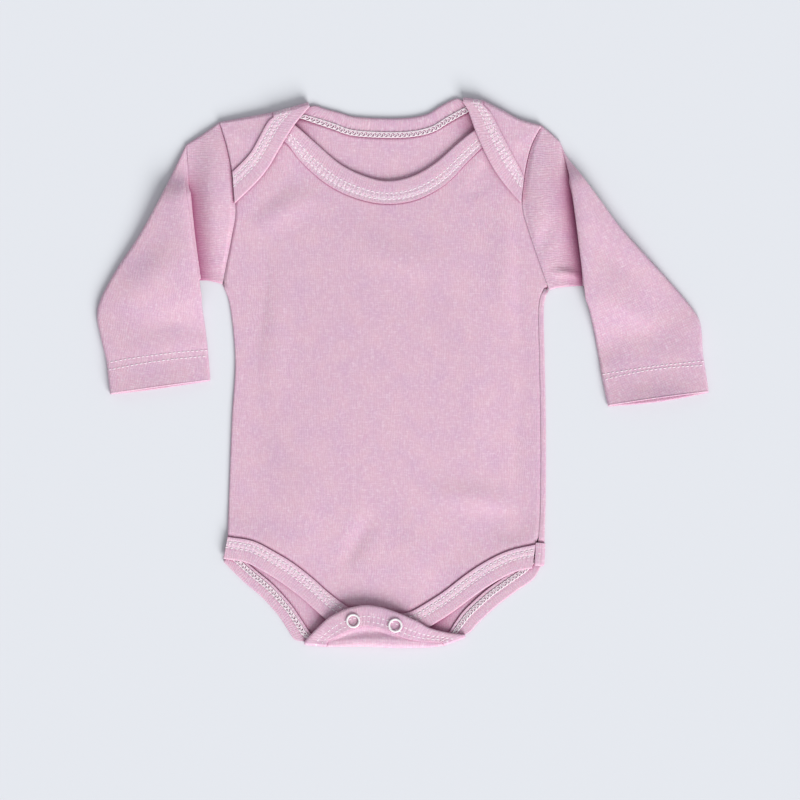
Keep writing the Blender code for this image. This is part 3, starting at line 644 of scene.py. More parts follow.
@dataclass(frozen=True)
class Knit:
    """Combed cotton interlock jersey, circular-knitted and brushed by washing.

    It is matte, with faint ribs along the wales, short pale slubs along the courses, a heather between a
    warm and a cool pink, and a soft nap that lights up at its edges. The real wales are about 0.75 mm
    apart, drawn at 1.6 mm so that they show at the scene's size.
    """

    name: str
    yarn: str = "#E0BACB"
    light: str = "#F4DEEA"
    cool: str = "#D6B0CB"
    shade: str = "#BC88A2"
    wale_mm: float = 1.6
    course_mm: float = 1.5
    rib_depth_mm: float = 0.07
    loop_depth: float = 0.21
    slub: tuple[float, float] = (0.26, 1.0)
    slubs: float = 0.65
    streak: tuple[float, float] = (1.1, 0.16)
    streaks: float = 0.16
    fleck: tuple[float, float] = (-0.24, 0.36)
    heather_mm: float = 2.4
    patch_mm: float = 16.0
    roughness: float = 0.94
    sheen: float = 0.3
    sheen_roughness: float = 0.55
    sheen_tint: str = "#FBE9F2"
    # painted shade: the deep pink that the colour is mixed towards in crevices that ambient occlusion finds,
    # and where a mesh keeps painted shade
    fold: str = "#A85580"
    ao_shade_reach_mm: float = 12.0
    ao_shade_depth: float = 0.68
    painted_shade_depth: float = 0.5
    glow: float = 0.3
    glow_mm: float = 0.8
    glow_colour: tuple[float, float, float] = (1.0, 0.55, 0.75)
    specular: float = 0.25
    lint: float = 0.0
    lint_colour: str = "#FFF4FA"

    def loops(self, graph: Graph, grain: bpy.types.NodeSocket) -> bpy.types.Node:
        """The relief of the knitted loops: ribs along the wales, each with a beat along the courses.

        Args:
            graph: the material's nodes.
            grain: the place in the cloth, in millimetres across and along the wales.

        Returns:
            The node of the height.
        """
        place = graph.add("SeparateXYZ", {0: grain})
        across, along = place.outputs["X"], place.outputs["Y"]
        wobble = graph.add("TexNoise", {"Vector": grain, "Scale": 0.12, "Detail": 2.0})
        shifted = graph.add("Math", {0: wobble, 1: 5.0, 2: across}, operation="MULTIPLY_ADD")
        wale = graph.add("Math", {0: shifted, 1: 2 * math.pi / self.wale_mm}, operation="MULTIPLY")
        rib = graph.add("Math", {0: wale}, operation="COSINE")
        side = graph.add("Math", {0: rib, 1: 0.25}, operation="MULTIPLY")
        course = graph.add("Math", {0: along, 1: 1 / self.course_mm, 2: side}, operation="MULTIPLY_ADD")
        turn = graph.add("Math", {0: course, 1: 2 * math.pi}, operation="MULTIPLY")
        loop = graph.add("Math", {0: turn}, operation="COSINE")
        return graph.add("Math", {0: loop, 1: 0.5, 2: rib}, operation="MULTIPLY_ADD")

    def yarn_colour(
        self, graph: Graph, grain: bpy.types.NodeSocket, slub: bpy.types.Node
    ) -> bpy.types.NodeSocket:
        """The yarn's own colour: cool and warm patches, pale slubs, flecks and streaks down the wales.

        Args:
            graph: the material's nodes.
            grain: the place in the cloth.
            slub: the noise of the slubs.

        Returns:
            The socket of the colour.
        """
        wales = graph.add("VectorMath", {0: grain, 1: (*self.streak, 1.0)}, operation="MULTIPLY")
        streak = graph.add("TexNoise", {"Vector": wales, "Scale": 1.0, "Detail": 2.0, "Roughness": 0.6})
        rows = graph.add("MapRange", {0: streak, 1: 0.3, 2: 0.7, 3: -self.streaks, 4: self.streaks})
        fine = {"Vector": grain, "Scale": 1 / self.heather_mm, "Detail": 4.0, "Roughness": 0.7}
        heather = graph.add("TexNoise", fine)
        fleck = graph.add("MapRange", {0: heather, 1: 0.3, 2: 0.7, 3: self.fleck[0], 4: self.fleck[1]})
        pale = graph.add("MapRange", {0: slub, 1: 0.5, 2: 0.78, 3: 0.0, 4: 1.0})
        mixed = graph.add("Math", {0: pale, 1: self.slubs, 2: fleck}, operation="MULTIPLY_ADD")
        spread = graph.add("Math", {0: mixed, 1: rows}, operation="ADD")
        coarse = {"Vector": grain, "Scale": 1 / self.patch_mm, "Detail": 3.0, "Roughness": 0.6}
        blotch = graph.add("MapRange", {0: graph.add("TexNoise", coarse), 1: 0.36, 2: 0.68, 3: 0.0, 4: 0.75})
        cool = graph.add("Mix", {0: blotch, 6: linear(self.yarn), 7: linear(self.cool)}, data_type="RGBA")
        body = {0: spread, 6: cool.outputs[2], 7: linear(self.light)}
        return graph.add("Mix", body, data_type="RGBA").outputs[2]

    def build(self) -> bpy.types.Material:
        """Makes the material from its grain and from the lint and the painted shade that are kept on a mesh.

        Returns:
            The material.
        """
        graph = Graph(self.name)
        kept = {"attribute_type": "GEOMETRY"}
        grain = graph.add("Attribute", attribute_name="grain", **kept).outputs["Vector"]
        lint = graph.add("Attribute", attribute_name="lint", **kept).outputs["Fac"]
        painted_shade = graph.add("Attribute", attribute_name="painted_shade", **kept).outputs["Fac"]
        loops = self.loops(graph, grain)
        along = graph.add("VectorMath", {0: grain, 1: (*self.slub, 1.0)}, operation="MULTIPLY")
        slub = graph.add("TexNoise", {"Vector": along, "Scale": 1.0, "Detail": 3.0, "Roughness": 0.65})
        body = self.yarn_colour(graph, grain, slub)
        deep = graph.add("MapRange", {0: loops, 1: -1.5, 2: 0.2, 3: self.loop_depth, 4: 0.0})
        ground = graph.add("Mix", {0: deep, 6: body, 7: linear(self.shade)}, data_type="RGBA")
        speck = graph.add("TexNoise", {"Vector": grain, "Scale": 1.1, "Detail": 2.0, "Roughness": 0.8})
        spots = graph.add("MapRange", {0: speck, 1: 0.46, 2: 0.62, 3: 0.0, 4: self.lint})
        dust = graph.add("Math", {0: lint, 1: spots}, operation="MULTIPLY")
        teased = {0: dust, 6: ground.outputs[2], 7: linear(self.lint_colour)}
        colour = graph.add("Mix", teased, data_type="RGBA")
        # painted shade: ambient occlusion darkens the colour towards the fold pink in crevices, and the
        # painted shade kept on the mesh adds to it
        near = graph.add("AmbientOcclusion", {"Distance": self.ao_shade_reach_mm * MM}, samples=5)
        depth = graph.add("MapRange", {0: near.outputs["AO"], 1: 0.3, 2: 0.88, 3: self.ao_shade_depth, 4: 0.0})
        depth = graph.add("Math", {0: painted_shade, 1: self.painted_shade_depth, 2: depth}, operation="MULTIPLY_ADD")
        with_painted_shade = {0: depth, 6: colour.outputs[2], 7: linear(self.fold)}
        rough = graph.add("Math", {0: slub, 1: 2.2, 2: loops}, operation="MULTIPLY_ADD")
        bump = graph.add("Bump", {"Height": rough, "Strength": 0.5, "Distance": self.rib_depth_mm * MM})
        surface = {
            "Base Color": graph.add("Mix", with_painted_shade, data_type="RGBA").outputs[2],
            "Roughness": self.roughness,
            "Normal": bump,
            "Subsurface Weight": self.glow,
            "Subsurface Radius": self.glow_colour,
            "Subsurface Scale": self.glow_mm * MM,
            "Sheen Weight": self.sheen,
            "Sheen Roughness": self.sheen_roughness,
            "Sheen Tint": linear(self.sheen_tint),
            "Specular IOR Level": self.specular,
        }
        return graph.finish(graph.add("BsdfPrincipled", surface))


@dataclass(frozen=True)
class Thread:
    """Spun polyester sewing thread, two yarns twisted: white with a faint sheen across its twist."""

    name: str = "spun_polyester_thread_twisted"
    colour: str = "#FBF5F8"
    # painted shade: the darker colour of the grooves between the plies
    groove: str = "#EEDDE6"
    twist_mm: float = 0.7
    groove_mm: float = 0.08
    roughness: float = 0.7
    sheen: float = 0.2

    def build(self) -> bpy.types.Material:
        """Makes the material with its twist along the thread.

        Returns:
            The material.
        """
        graph = Graph(self.name)
        grain = graph.add("Attribute", attribute_name="grain", attribute_type="GEOMETRY")
        place = graph.add("SeparateXYZ", {0: grain.outputs["Vector"]})
        across, along = place.outputs["X"], place.outputs["Y"]
        lead = graph.add("Math", {0: along, 1: 2 * math.pi / self.twist_mm}, operation="MULTIPLY")
        slant = graph.add("Math", {0: across, 1: 2.0, 2: lead}, operation="MULTIPLY_ADD")
        ply = graph.add("Math", {0: slant}, operation="SINE")
        depth = graph.add("MapRange", {0: ply, 1: -1.0, 2: 1.0, 3: 0.0, 4: 1.0})
        # painted shade: the grooves of the twist are mixed towards the darker groove colour
        plies = {0: depth, 6: linear(self.groove), 7: linear(self.colour)}
        surface = {
            "Base Color": graph.add("Mix", plies, data_type="RGBA").outputs[2],
            "Roughness": self.roughness,
            "Normal": graph.add("Bump", {"Height": depth, "Strength": 0.5, "Distance": self.groove_mm * MM}),
            "Sheen Weight": self.sheen,
        }
        return graph.finish(graph.add("BsdfPrincipled", surface))


@dataclass(frozen=True)
class Enamel:
    """Stove-enamelled brass, stamped: a smooth white skin with a soft gloss and small waves."""

    name: str
    colour: str = "#F4EEF1"
    roughness: float = 0.34
    coat: float = 0.4
    coat_roughness: float = 0.2
    wave_mm: float = 0.05

    def build(self) -> bpy.types.Material:
        """Makes the material with slight waves in its skin.

        Returns:
            The material.
        """
        graph = Graph(self.name)
        place = graph.add("TexCoord").outputs["Object"]
        waves = graph.add("TexNoise", {"Vector": place, "Scale": 900.0, "Detail": 2.0})
        low, high = self.roughness - 0.05, self.roughness + 0.07
        surface = {
            "Base Color": linear(self.colour),
            "Roughness": graph.add("MapRange", {0: waves, 1: 0.3, 2: 0.7, 3: low, 4: high}),
            "Normal": graph.add("Bump", {"Height": waves, "Strength": 0.15, "Distance": self.wave_mm * MM}),
            "Coat Weight": self.coat,
            "Coat Roughness": self.coat_roughness,
        }
        return graph.finish(graph.add("BsdfPrincipled", surface))


@dataclass(frozen=True)
class Board:
    """Painted board with a matte pale finish."""

    name: str = "painted_board_matte"
    colour: str = "#E4E7EC"
    roughness: float = 0.85
    paint_mm: float = 0.05

    def build(self) -> bpy.types.Material:
        """Makes the material with a barely uneven paint.

        Returns:
            The material.
        """
        graph = Graph(self.name)
        place = graph.add("TexCoord").outputs["Object"]
        paint = graph.add("TexNoise", {"Vector": place, "Scale": 300.0, "Detail": 3.0})
        bump = graph.add("Bump", {"Height": paint, "Strength": 0.05, "Distance": self.paint_mm * MM})
        surface = {"Base Color": linear(self.colour), "Roughness": self.roughness, "Normal": bump}
        return graph.finish(graph.add("BsdfPrincipled", surface))


@dataclass(frozen=True)
class Finishes:
    """Every finish on the garment, made once."""

    jersey: bpy.types.Material
    binding: bpy.types.Material
    thread: bpy.types.Material
    enamel: bpy.types.Material

    @classmethod
    def make(cls) -> "Finishes":
        """Builds them all.

        Returns:
            The finishes with their materials.
        """
        return cls(
            jersey=Knit("cotton_interlock_jersey_knitted").build(),
            binding=Knit("cotton_jersey_self_binding_folded", lint=0.75, heather_mm=1.6).build(),
            thread=Thread().build(),
            enamel=Enamel("brass_white_enamelled").build(),
        )


@dataclass(frozen=True)
class StitchRow:
    """A row of stitches along a binding: its share of the width from the free edge, and its thread.

    Its stitches are sunk by a share of the groove's depth and raised by rise, and the first and the last
    keep a margin from the ends, as a share of the pitch.
    """

    share: float
    phase: float
    long: float = 2.2
    pitch: float = 3.2
    wide: float = 0.8
    high: float = 0.62
    rise: float = 0.12
    sink: float = 0.9
    margin: float = 0.3


def rounded(away: Array, radius: float) -> Array:
    """The height of a quarter round, as a share of its radius, at distances from its foot."""
    return np.sqrt(np.clip(1 - (1 - np.minimum(away, radius) / radius) ** 2, 0, 1))


@dataclass(frozen=True)
class Looper:
    """The threads that cover a seam inside: slanted loops between two lines, at a share of the width."""

    share: float
    wide: float = 3.2
    pitch: float = 2.9
    radius: float = 0.33
    points: int = 8
    slide: float = 0.32
    lift: float = 0.18
    swing_lift: float = 0.12
    edge_lift: float = 0.6
    edge_swing: float = 0.1
    edge_beat: float = 6.3

    def routes(self, steps: Array) -> list[tuple[Array, Array, Array]]:
        """The three threads by steps along the seam: distance along, across its middle and upwards.

        Args:
            steps: the distances along the seam.

        Returns:
            The three measures of each thread.
        """
        beat = steps / self.pitch
        slide = self.slide * self.pitch * np.cos(4 * np.pi * beat)
        lift = self.lift + self.swing_lift * np.cos(2 * np.pi * beat)
        made = [(steps + slide, np.sin(2 * np.pi * beat) * self.wide / 2, lift)]
        for side, phase in ((-1, 0), (1, 2)):
            swing = self.edge_swing * np.sin(beat * self.edge_beat + phase)
            made.append((steps, swing + side * self.wide / 2, lift * self.edge_lift))
        return made


@dataclass(frozen=True)
class Profile:
    """The cut across a folded binding, sewn by two rows with a puckered strip between them."""

    half: float = 0.97
    edge: float = 1.1
    lip: float = 0.8
    lip_share: float = 0.65
    overhang: float = 0.55
    rows: tuple[float, float] = (0.55, 0.82)
    groove: float = 0.42
    groove_width: float = 0.75
    beat: float = 0.25
    pucker: float = 0.08
    pucker_width: float = 2.2
    pitch: float = 3.2
    waves: tuple[tuple[float, float, float, float], ...] = (
        (1.0, 3.2, 0.0, 0.0),
        (0.6, 2.13, 1.3, 0.0),
        (0.5, 5.7, 0.0, 9.0),
    )
    rim: float = 0.06
    rim_width: float = 1.2
    rim_pitch: float = 2.9
    lint_fade: float = 0.08
    lint_lead: float = 0.75
    lint_trail: float = 0.625
    top_turn: float = 0.97
    top_points: int = 26
    under_points: int = 10

    def height(self, share: Array, width: Array, run: Array) -> Array:
        """The height of the sewn face over the middle, by share of the width and distance along.

        Args:
            share: the place across, as a share of the width.
            width: the width there.
            run: the distance along.

        Returns:
            The heights.
        """
        lip = rounded((1 - share) * width + self.overhang, self.lip)
        made = self.half * rounded(share * width, self.edge) * (1 - self.lip_share + self.lip_share * lip)
        for number, row in enumerate(self.rows):
            beat = 1 - self.beat + self.beat * np.cos(2 * np.pi * run / self.pitch + number)
            made = made - self.groove * beat * np.exp(-(((share - row) * width / self.groove_width) ** 2))
        band = np.exp(-(((share - sum(self.rows) / 2) * width / self.pucker_width) ** 2))
        for strength, length, phase, slant in self.waves:
            wave = np.sin(2 * np.pi * run / length + phase + slant * share)
            made = made + self.pucker * band * strength * wave
        rim = np.exp(-(((1 - share) * width / self.rim_width) ** 2))
        return made + self.rim * rim * np.sin(2 * np.pi * run / self.rim_pitch)

    def top_shares(self) -> Array:
        """Where the points of the sewn face lie across the strip."""
        shares = 0.5 - 0.5 * np.cos(np.linspace(0, np.pi * self.top_turn, self.top_points))
        return shares / shares[-1]

    def lint(self) -> Array:
        """How much the needles have teased up the yarn round one loop: most between the two rows.

        Returns:
            The amount at each point of the loop.
        """
        first, last = self.rows
        shares = self.top_shares()
        start = ease((shares - first) / self.lint_fade + self.lint_lead)
        inside = start * (1 - ease((shares - last) / self.lint_fade - self.lint_trail))
        return np.concatenate([inside, np.zeros(self.under_points)])


@dataclass
class Strip:
    """A folded strip of jersey that follows pairs of points, with its sewn face on one side."""

    name: str
    pairs: Array
    profile: Profile = field(default_factory=Profile)
    up_limit: float = 0.35

    def __post_init__(self) -> None:
        """Works out the directions along, across and up at each pair."""
        free, seam = self.pairs[:, 0], self.pairs[:, 1]
        middle = (free + seam) / 2
        self.width = np.linalg.norm(seam - free, axis=1)
        self.across = (seam - free) / self.width[:, None]
        self.up = unit(np.cross(np.gradient(middle, axis=0), self.across))
        if self.up[0, 2] < 0:
            self.up = -self.up
        self.run = run_of(middle)

    def loops(self) -> Array:
        """Closed loops across the strip: over its sewn face and back under it.

        Returns:
            The points of each loop.
        """
        made = self.profile
        width = self.width[:, None]
        under = 0.5 + 0.5 * np.cos(np.linspace(0, np.pi, made.under_points))
        loops = []
        for face, shares in ((Face.UPPER, made.top_shares()), (Face.UNDER, under)):
            slope = self.up[:, 2] * face.value
            lift = np.clip(slope, 0, 1) * made.overhang
            stretched = shares[None, :] * (1 + lift / self.width)[:, None]
            sewn = made.height(shares[None, :], width, self.run[:, None])
            plain = made.half * rounded(shares[None, :] * width, 1.0)
            facing = np.clip(slope * 4 + 0.5, 0, 1)[:, None]
            height = sewn * facing + plain * (1 - facing)
            place = (stretched * width)[..., None] * self.across[:, None]
            loops.append(self.pairs[:, :1] + place + face.value * height[..., None] * self.up[:, None])
        return np.concatenate(loops, axis=1)

    def build(self) -> bpy.types.Object:
        """Makes the strip as one closed mesh.

        Returns:
            The mesh object.
        """
        loops = self.loops()
        count, size = loops.shape[:2]
        caps = [list(range(size)), list(range((count - 1) * size, count * size))[::-1]]
        wide = np.linspace(0, 1, size)[None, :] * 2 * self.width[:, None]
        grain = np.stack(np.broadcast_arrays(self.run[:, None], wide), axis=-1).reshape(-1, 2)
        faces = [*grid_faces(count, size, wrap=True).tolist(), *caps]
        made = mesh_object(self.name, loops.reshape(-1, 3), faces, grain)
        mark(made, "lint", np.tile(self.profile.lint(), count))
        cleaned(made, WELD)
        return made

    def row_spots(self, row: StitchRow, face: Face) -> Array:
        """Where the stitches of a row lie on a face, away from where it presses on the surface.

        Args:
            row: the row.
            face: the face.

        Returns:
            For each stitch its middle, its direction and its upward side.
        """
        line = self.pairs[:, 0] + (row.share * self.width)[:, None] * self.across
        run = run_of(line)
        margin = row.pitch * row.margin
        stops = np.arange(margin + row.pitch * row.phase, run[-1] - margin, row.pitch)
        up = sampled(self.up, run, stops) * face.value
        along = unit(sampled(np.gradient(line, axis=0), run, stops))
        height = self.profile.half - self.profile.groove * row.sink + row.rise
        spots = np.stack([sampled(line, run, stops) + up * height, along, up], axis=1)
        return spots[up[:, 2] > self.up_limit]

    def looper(self, looper: Looper, face: Face) -> list[Array]:
        """Paths of the looper threads on the part of a face that shows from above.

        Args:
            looper: how they run.
            face: the face that they lie on.

        Returns:
            Lines of points.
        """
        first, last = np.flatnonzero(self.up[:, 2] * face.value > 0.5)[[0, -1]]
        span = slice(first, last + 1)
        run = self.run[span] - self.run[first]
        count = int(run[-1] / looper.pitch)
        steps = np.linspace(0, count * looper.pitch, count * looper.points + 1)
        paths = []
        for where, off, rise in looper.routes(steps):
            where = np.clip(where, 0, run[-1])
            start = sampled(self.pairs[span, 0], run, where)
            over = sampled(self.across[span], run, where)
            up = sampled(self.up[span], run, where) * face.value
            width = np.interp(where, run, self.width[span])
            side = over * (looper.share * width + off)[:, None]
            paths.append(start + side + up * (self.profile.half + rise)[:, None])
        return paths


@dataclass
class Binding:
    """A sewn binding with its rows of thread."""

    name: str
    node: str
    rests_on: tuple[str, ...]
    finishes: Finishes
    outer: Face = Face.UPPER
    rows: tuple[StitchRow, ...] = (StitchRow(0.55, 0.0), StitchRow(0.82, 0.45))
    looper: Looper | None = None

    def make(self, pairs: Array) -> None:
        """Builds the strip and its threads along pairs of points, free edge and seam edge.

        Args:
            pairs: the pairs of points.
        """
        strip = Strip(self.name, pairs)
        piece = dress(strip.build(), self.finishes.binding)
        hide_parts(self.node)
        threads = []
        for number, row in enumerate(self.rows):
            spots = strip.row_spots(row, self.outer)
            name = f"{self.name}_stitches_{number + 1}"
            threads.append(thread_stitches(name, spots, row.long, row.wide, row.high))
        if self.looper:
            paths = strip.looper(self.looper, Face(-self.outer.value))
            threads.append(thread_tube(f"{self.name}_looper", paths, self.looper.radius))
        for thread in threads:
            dress(thread, self.finishes.thread)
        LOG.info("%s: %.0f mm long, %d threads", self.name, strip.run[-1], len(threads))


@dataclass(frozen=True)
class BackNeck:
    """The back's neck band: left lap, round its peak, along the neck, round the other peak, right lap."""

    left_lap: tuple[Section, ...] = sections(
        (-111.5, 112.0, -113.0, 132.5, 3.7),
        (-96.7, 126.5, -105.0, 140.2, 3.9),
        (-88.2, 137.3, -99.5, 146.7, 4.8),
        (-80.2, 151.0, -94.3, 156.0, 5.6),
        (-71.5, 164.6, -89.0, 165.6, 5.7),
    )
    left_peak: Section = Section(-62.6, 179.5, -86.0, 172.8, 5.7)
    neck: tuple[Section, ...] = sections(
        (-57.5, 177.2, -72.5, 168.5, 1.0),
        (-51.5, 175.2, -60.0, 165.2, 1.0),
        (-43.0, 173.0, -47.5, 161.0, 1.0),
        (-29.8, 169.6, -32.0, 156.0, 1.0),
        (-2.0, 168.8, -1.0, 154.8, 1.0),
        (15.1, 171.4, 18.5, 158.0, 1.0),
        (25.2, 177.2, 32.0, 165.6, 1.0),
        (35.4, 182.0, 44.5, 172.5, 1.0),
    )
    neck_width: float = 0.88
    right_peak: Section = Section(40.0, 182.7, 53.0, 180.8, 5.7)
    right_lap: tuple[Section, ...] = sections(
        (43.0, 174.0, 57.5, 172.3, 5.7),
        (47.6, 161.4, 61.2, 165.5, 5.7),
        (53.7, 147.2, 66.5, 155.2, 5.6),
        (60.9, 133.9, 72.5, 143.5, 5.0),
        (69.3, 122.5, 77.0, 135.5, 4.0),
        (78.2, 112.5, 80.2, 129.0, 3.7),
    )

    def stretches(self, lap: int, neck: int, steps: int) -> tuple[Array, Array, Array, Array]:
        """The band's stretches that the back panel is sewn to, and the whole of it.

        Args:
            lap: steps along each lap.
            neck: steps along the neck.
            steps: steps round each peak.

        Returns:
            Pairs of points of the left lap, the neck and the right lap, each from its lower end, and all.
        """
        left_fold, right_fold = band_fold(self.left_peak, steps), band_fold(self.right_peak, steps)
        left = edges_of((*self.left_lap, as_section(left_fold[-1])), lap)
        drawn_in = [narrowed(section, self.neck_width) for section in self.neck]
        middle = edges_of((as_section(left_fold[0]), *drawn_in, as_section(right_fold[0])), neck)
        right = edges_of((as_section(right_fold[-1]), *self.right_lap), lap)
        whole = np.concatenate([left, left_fold[-2:0:-1], middle, right_fold[1:-1], right])
        return left, middle, right[::-1], whole


@dataclass(frozen=True)
class BackLeg:
    """The back's leg band: left leg, round the crotch fold, the end of the tab, the fold, right leg."""

    left: tuple[Section, ...] = sections(
        (-118.8, -125.6, -113.3, -114.9, 1.0),
        (-105.2, -139.0, -96.8, -129.0, 1.0),
        (-93.4, -149.1, -85.0, -138.8, 1.0),
        (-82.8, -160.9, -73.2, -151.8, 1.0),
        (-76.9, -169.7, -66.0, -162.0, 1.0),
        (-71.9, -177.0, -58.5, -172.5, 1.0),
    )
    left_fold: Section = Section(-65.6, -180.6, -51.0, -182.0, 3.7)
    tab: tuple[Section, ...] = sections(
        (-62.5, -175.0, -49.5, -177.3, 3.9),
        (-50.7, -163.4, -43.5, -174.0, 5.7),
        (-42.7, -158.6, -38.0, -171.0, 7.3),
        (-34.5, -155.4, -31.5, -168.8, 7.7),
        (-24.0, -153.9, -24.5, -167.2, 7.5),
        (-13.7, -155.4, -16.0, -168.4, 7.5),
        (-3.0, -159.0, -7.5, -171.5, 7.7),
        (9.6, -164.6, 4.0, -176.0, 6.6),
        (17.6, -169.0, 13.0, -177.3, 4.9),
        (30.0, -172.2, 23.5, -177.9, 3.9),
    )
    right_fold: Section = Section(42.0, -175.8, 28.0, -181.0, 3.7)
    right: tuple[Section, ...] = sections(
        (45.0, -171.8, 34.5, -163.8, 1.0),
        (51.0, -165.2, 41.0, -155.4, 1.0),
        (63.6, -153.8, 54.3, -143.2, 1.0),
        (75.9, -144.6, 67.8, -133.6, 1.0),
        (86.3, -137.3, 79.5, -124.8, 1.0),
    )
    right_end: Section = Section(93.9, -128.4, 94.6, -113.4, 3.5)
    end_return: float = 4.3
    end_rows: int = 8
    left_width: float = 0.8
    right_width: float = 0.86

    def stretches(self, leg: int, tab: int, steps: int) -> tuple[Array, Array, Array, Array]:
        """The band's stretches that the back panel is sewn to, and the whole of it.

        Args:
            leg: steps along each leg.
            tab: steps along the tab's end.
            steps: steps round each fold.

        Returns:
            Pairs of points of the left leg, the tab and the right leg, and all.
        """
        folds = (self.left_fold, self.right_fold, self.right_end)
        left_fold, right_fold, side_fold = (band_fold(section, steps) for section in folds)
        drawn_left = [narrowed(section, self.left_width) for section in self.left]
        drawn_right = [narrowed(section, self.right_width) for section in self.right]
        left = edges_of((*drawn_left, as_section(left_fold[0])), leg)
        end = edges_of((as_section(left_fold[-1]), *self.tab, as_section(right_fold[-1])), tab)
        right = edges_of((as_section(right_fold[0]), *drawn_right, as_section(side_fold[0])), leg)
        inward = sideways(section_ends(self.right_end), MIDDLE)
        shares = np.linspace(0, 1, self.end_rows + 1)[1:]
        back = [side_fold[-1] + inward * self.end_return * share for share in shares]
        whole = np.concatenate([left, left_fold[1:-1], end, right_fold[-2:0:-1], right, side_fold[1:], back])
        return left, end, right, whole


FRONT_NECK = sections(
    (-76.5, 166.5, -84.5, 157.0, 3.4),
    (-70.9, 163.8, -76.8, 152.4, 3.3),
    (-57.5, 152.1, -66.6, 139.8, 2.4),
    (-41.8, 138.7, -49.7, 125.2, 2.3),
    (-26.2, 130.9, -31.5, 116.4, 2.3),
    (-11.0, 127.3, -11.5, 112.4, 2.3),
    (5.2, 130.1, 8.8, 115.2, 2.3),
    (20.8, 138.7, 27.6, 125.2, 2.3),
    (36.5, 152.4, 43.0, 140.6, 2.4),
    (47.5, 160.9, 53.5, 150.5, 3.3),
    (57.5, 166.5, 65.0, 157.0, 3.4),
)
FRONT_LEG = sections(
    (-119.0, -123.4, -116.4, -109.3, 3.4),
    (-104.3, -125.9, -99.5, -112.2, 3.4),
    (-92.4, -131.9, -84.8, -119.6, 3.35),
    (-80.6, -139.3, -72.2, -127.4, 2.7),
    (-68.7, -148.2, -60.0, -137.0, 2.3),
    (-59.8, -155.9, -50.9, -145.2, 2.3),
    (-49.8, -164.5, -40.0, -153.6, 2.3),
    (-36.0, -171.6, -32.5, -157.6, 2.3),
    (-20.0, -173.1, -19.0, -158.9, 2.3),
    (-5.0, -174.3, -5.0, -160.2, 2.3),
    (9.5, -172.8, 4.8, -159.2, 2.3),
    (26.0, -163.5, 18.1, -151.8, 2.3),
    (37.1, -155.9, 29.0, -144.5, 2.6),
    (49.8, -146.3, 42.0, -134.4, 3.35),
    (62.5, -138.1, 55.5, -125.6, 3.4),
    (75.2, -131.9, 70.4, -118.6, 3.4),
    (85.6, -129.8, 87.9, -114.4, 3.4),
)


@dataclass(frozen=True)
class Loft:
    """How the front stands off the back: highest near the middle and level at the edges."""

    centre: float = -8.0
    half_width: float = 88.0
    half_length: float = 140.0
    height: float = 3.2

    def at(self, x: Array, y: Array) -> Array:
        """The lift at places seen from above.

        Args:
            x: the places sideways.
            y: the places up the garment.

        Returns:
            The lift at each.
        """
        across = np.maximum(0.0, 1 - (x - self.centre) ** 2 / self.half_width**2)
        along = np.maximum(0.0, 1 - (y - self.centre) ** 2 / self.half_length**2)
        return self.height * across * along


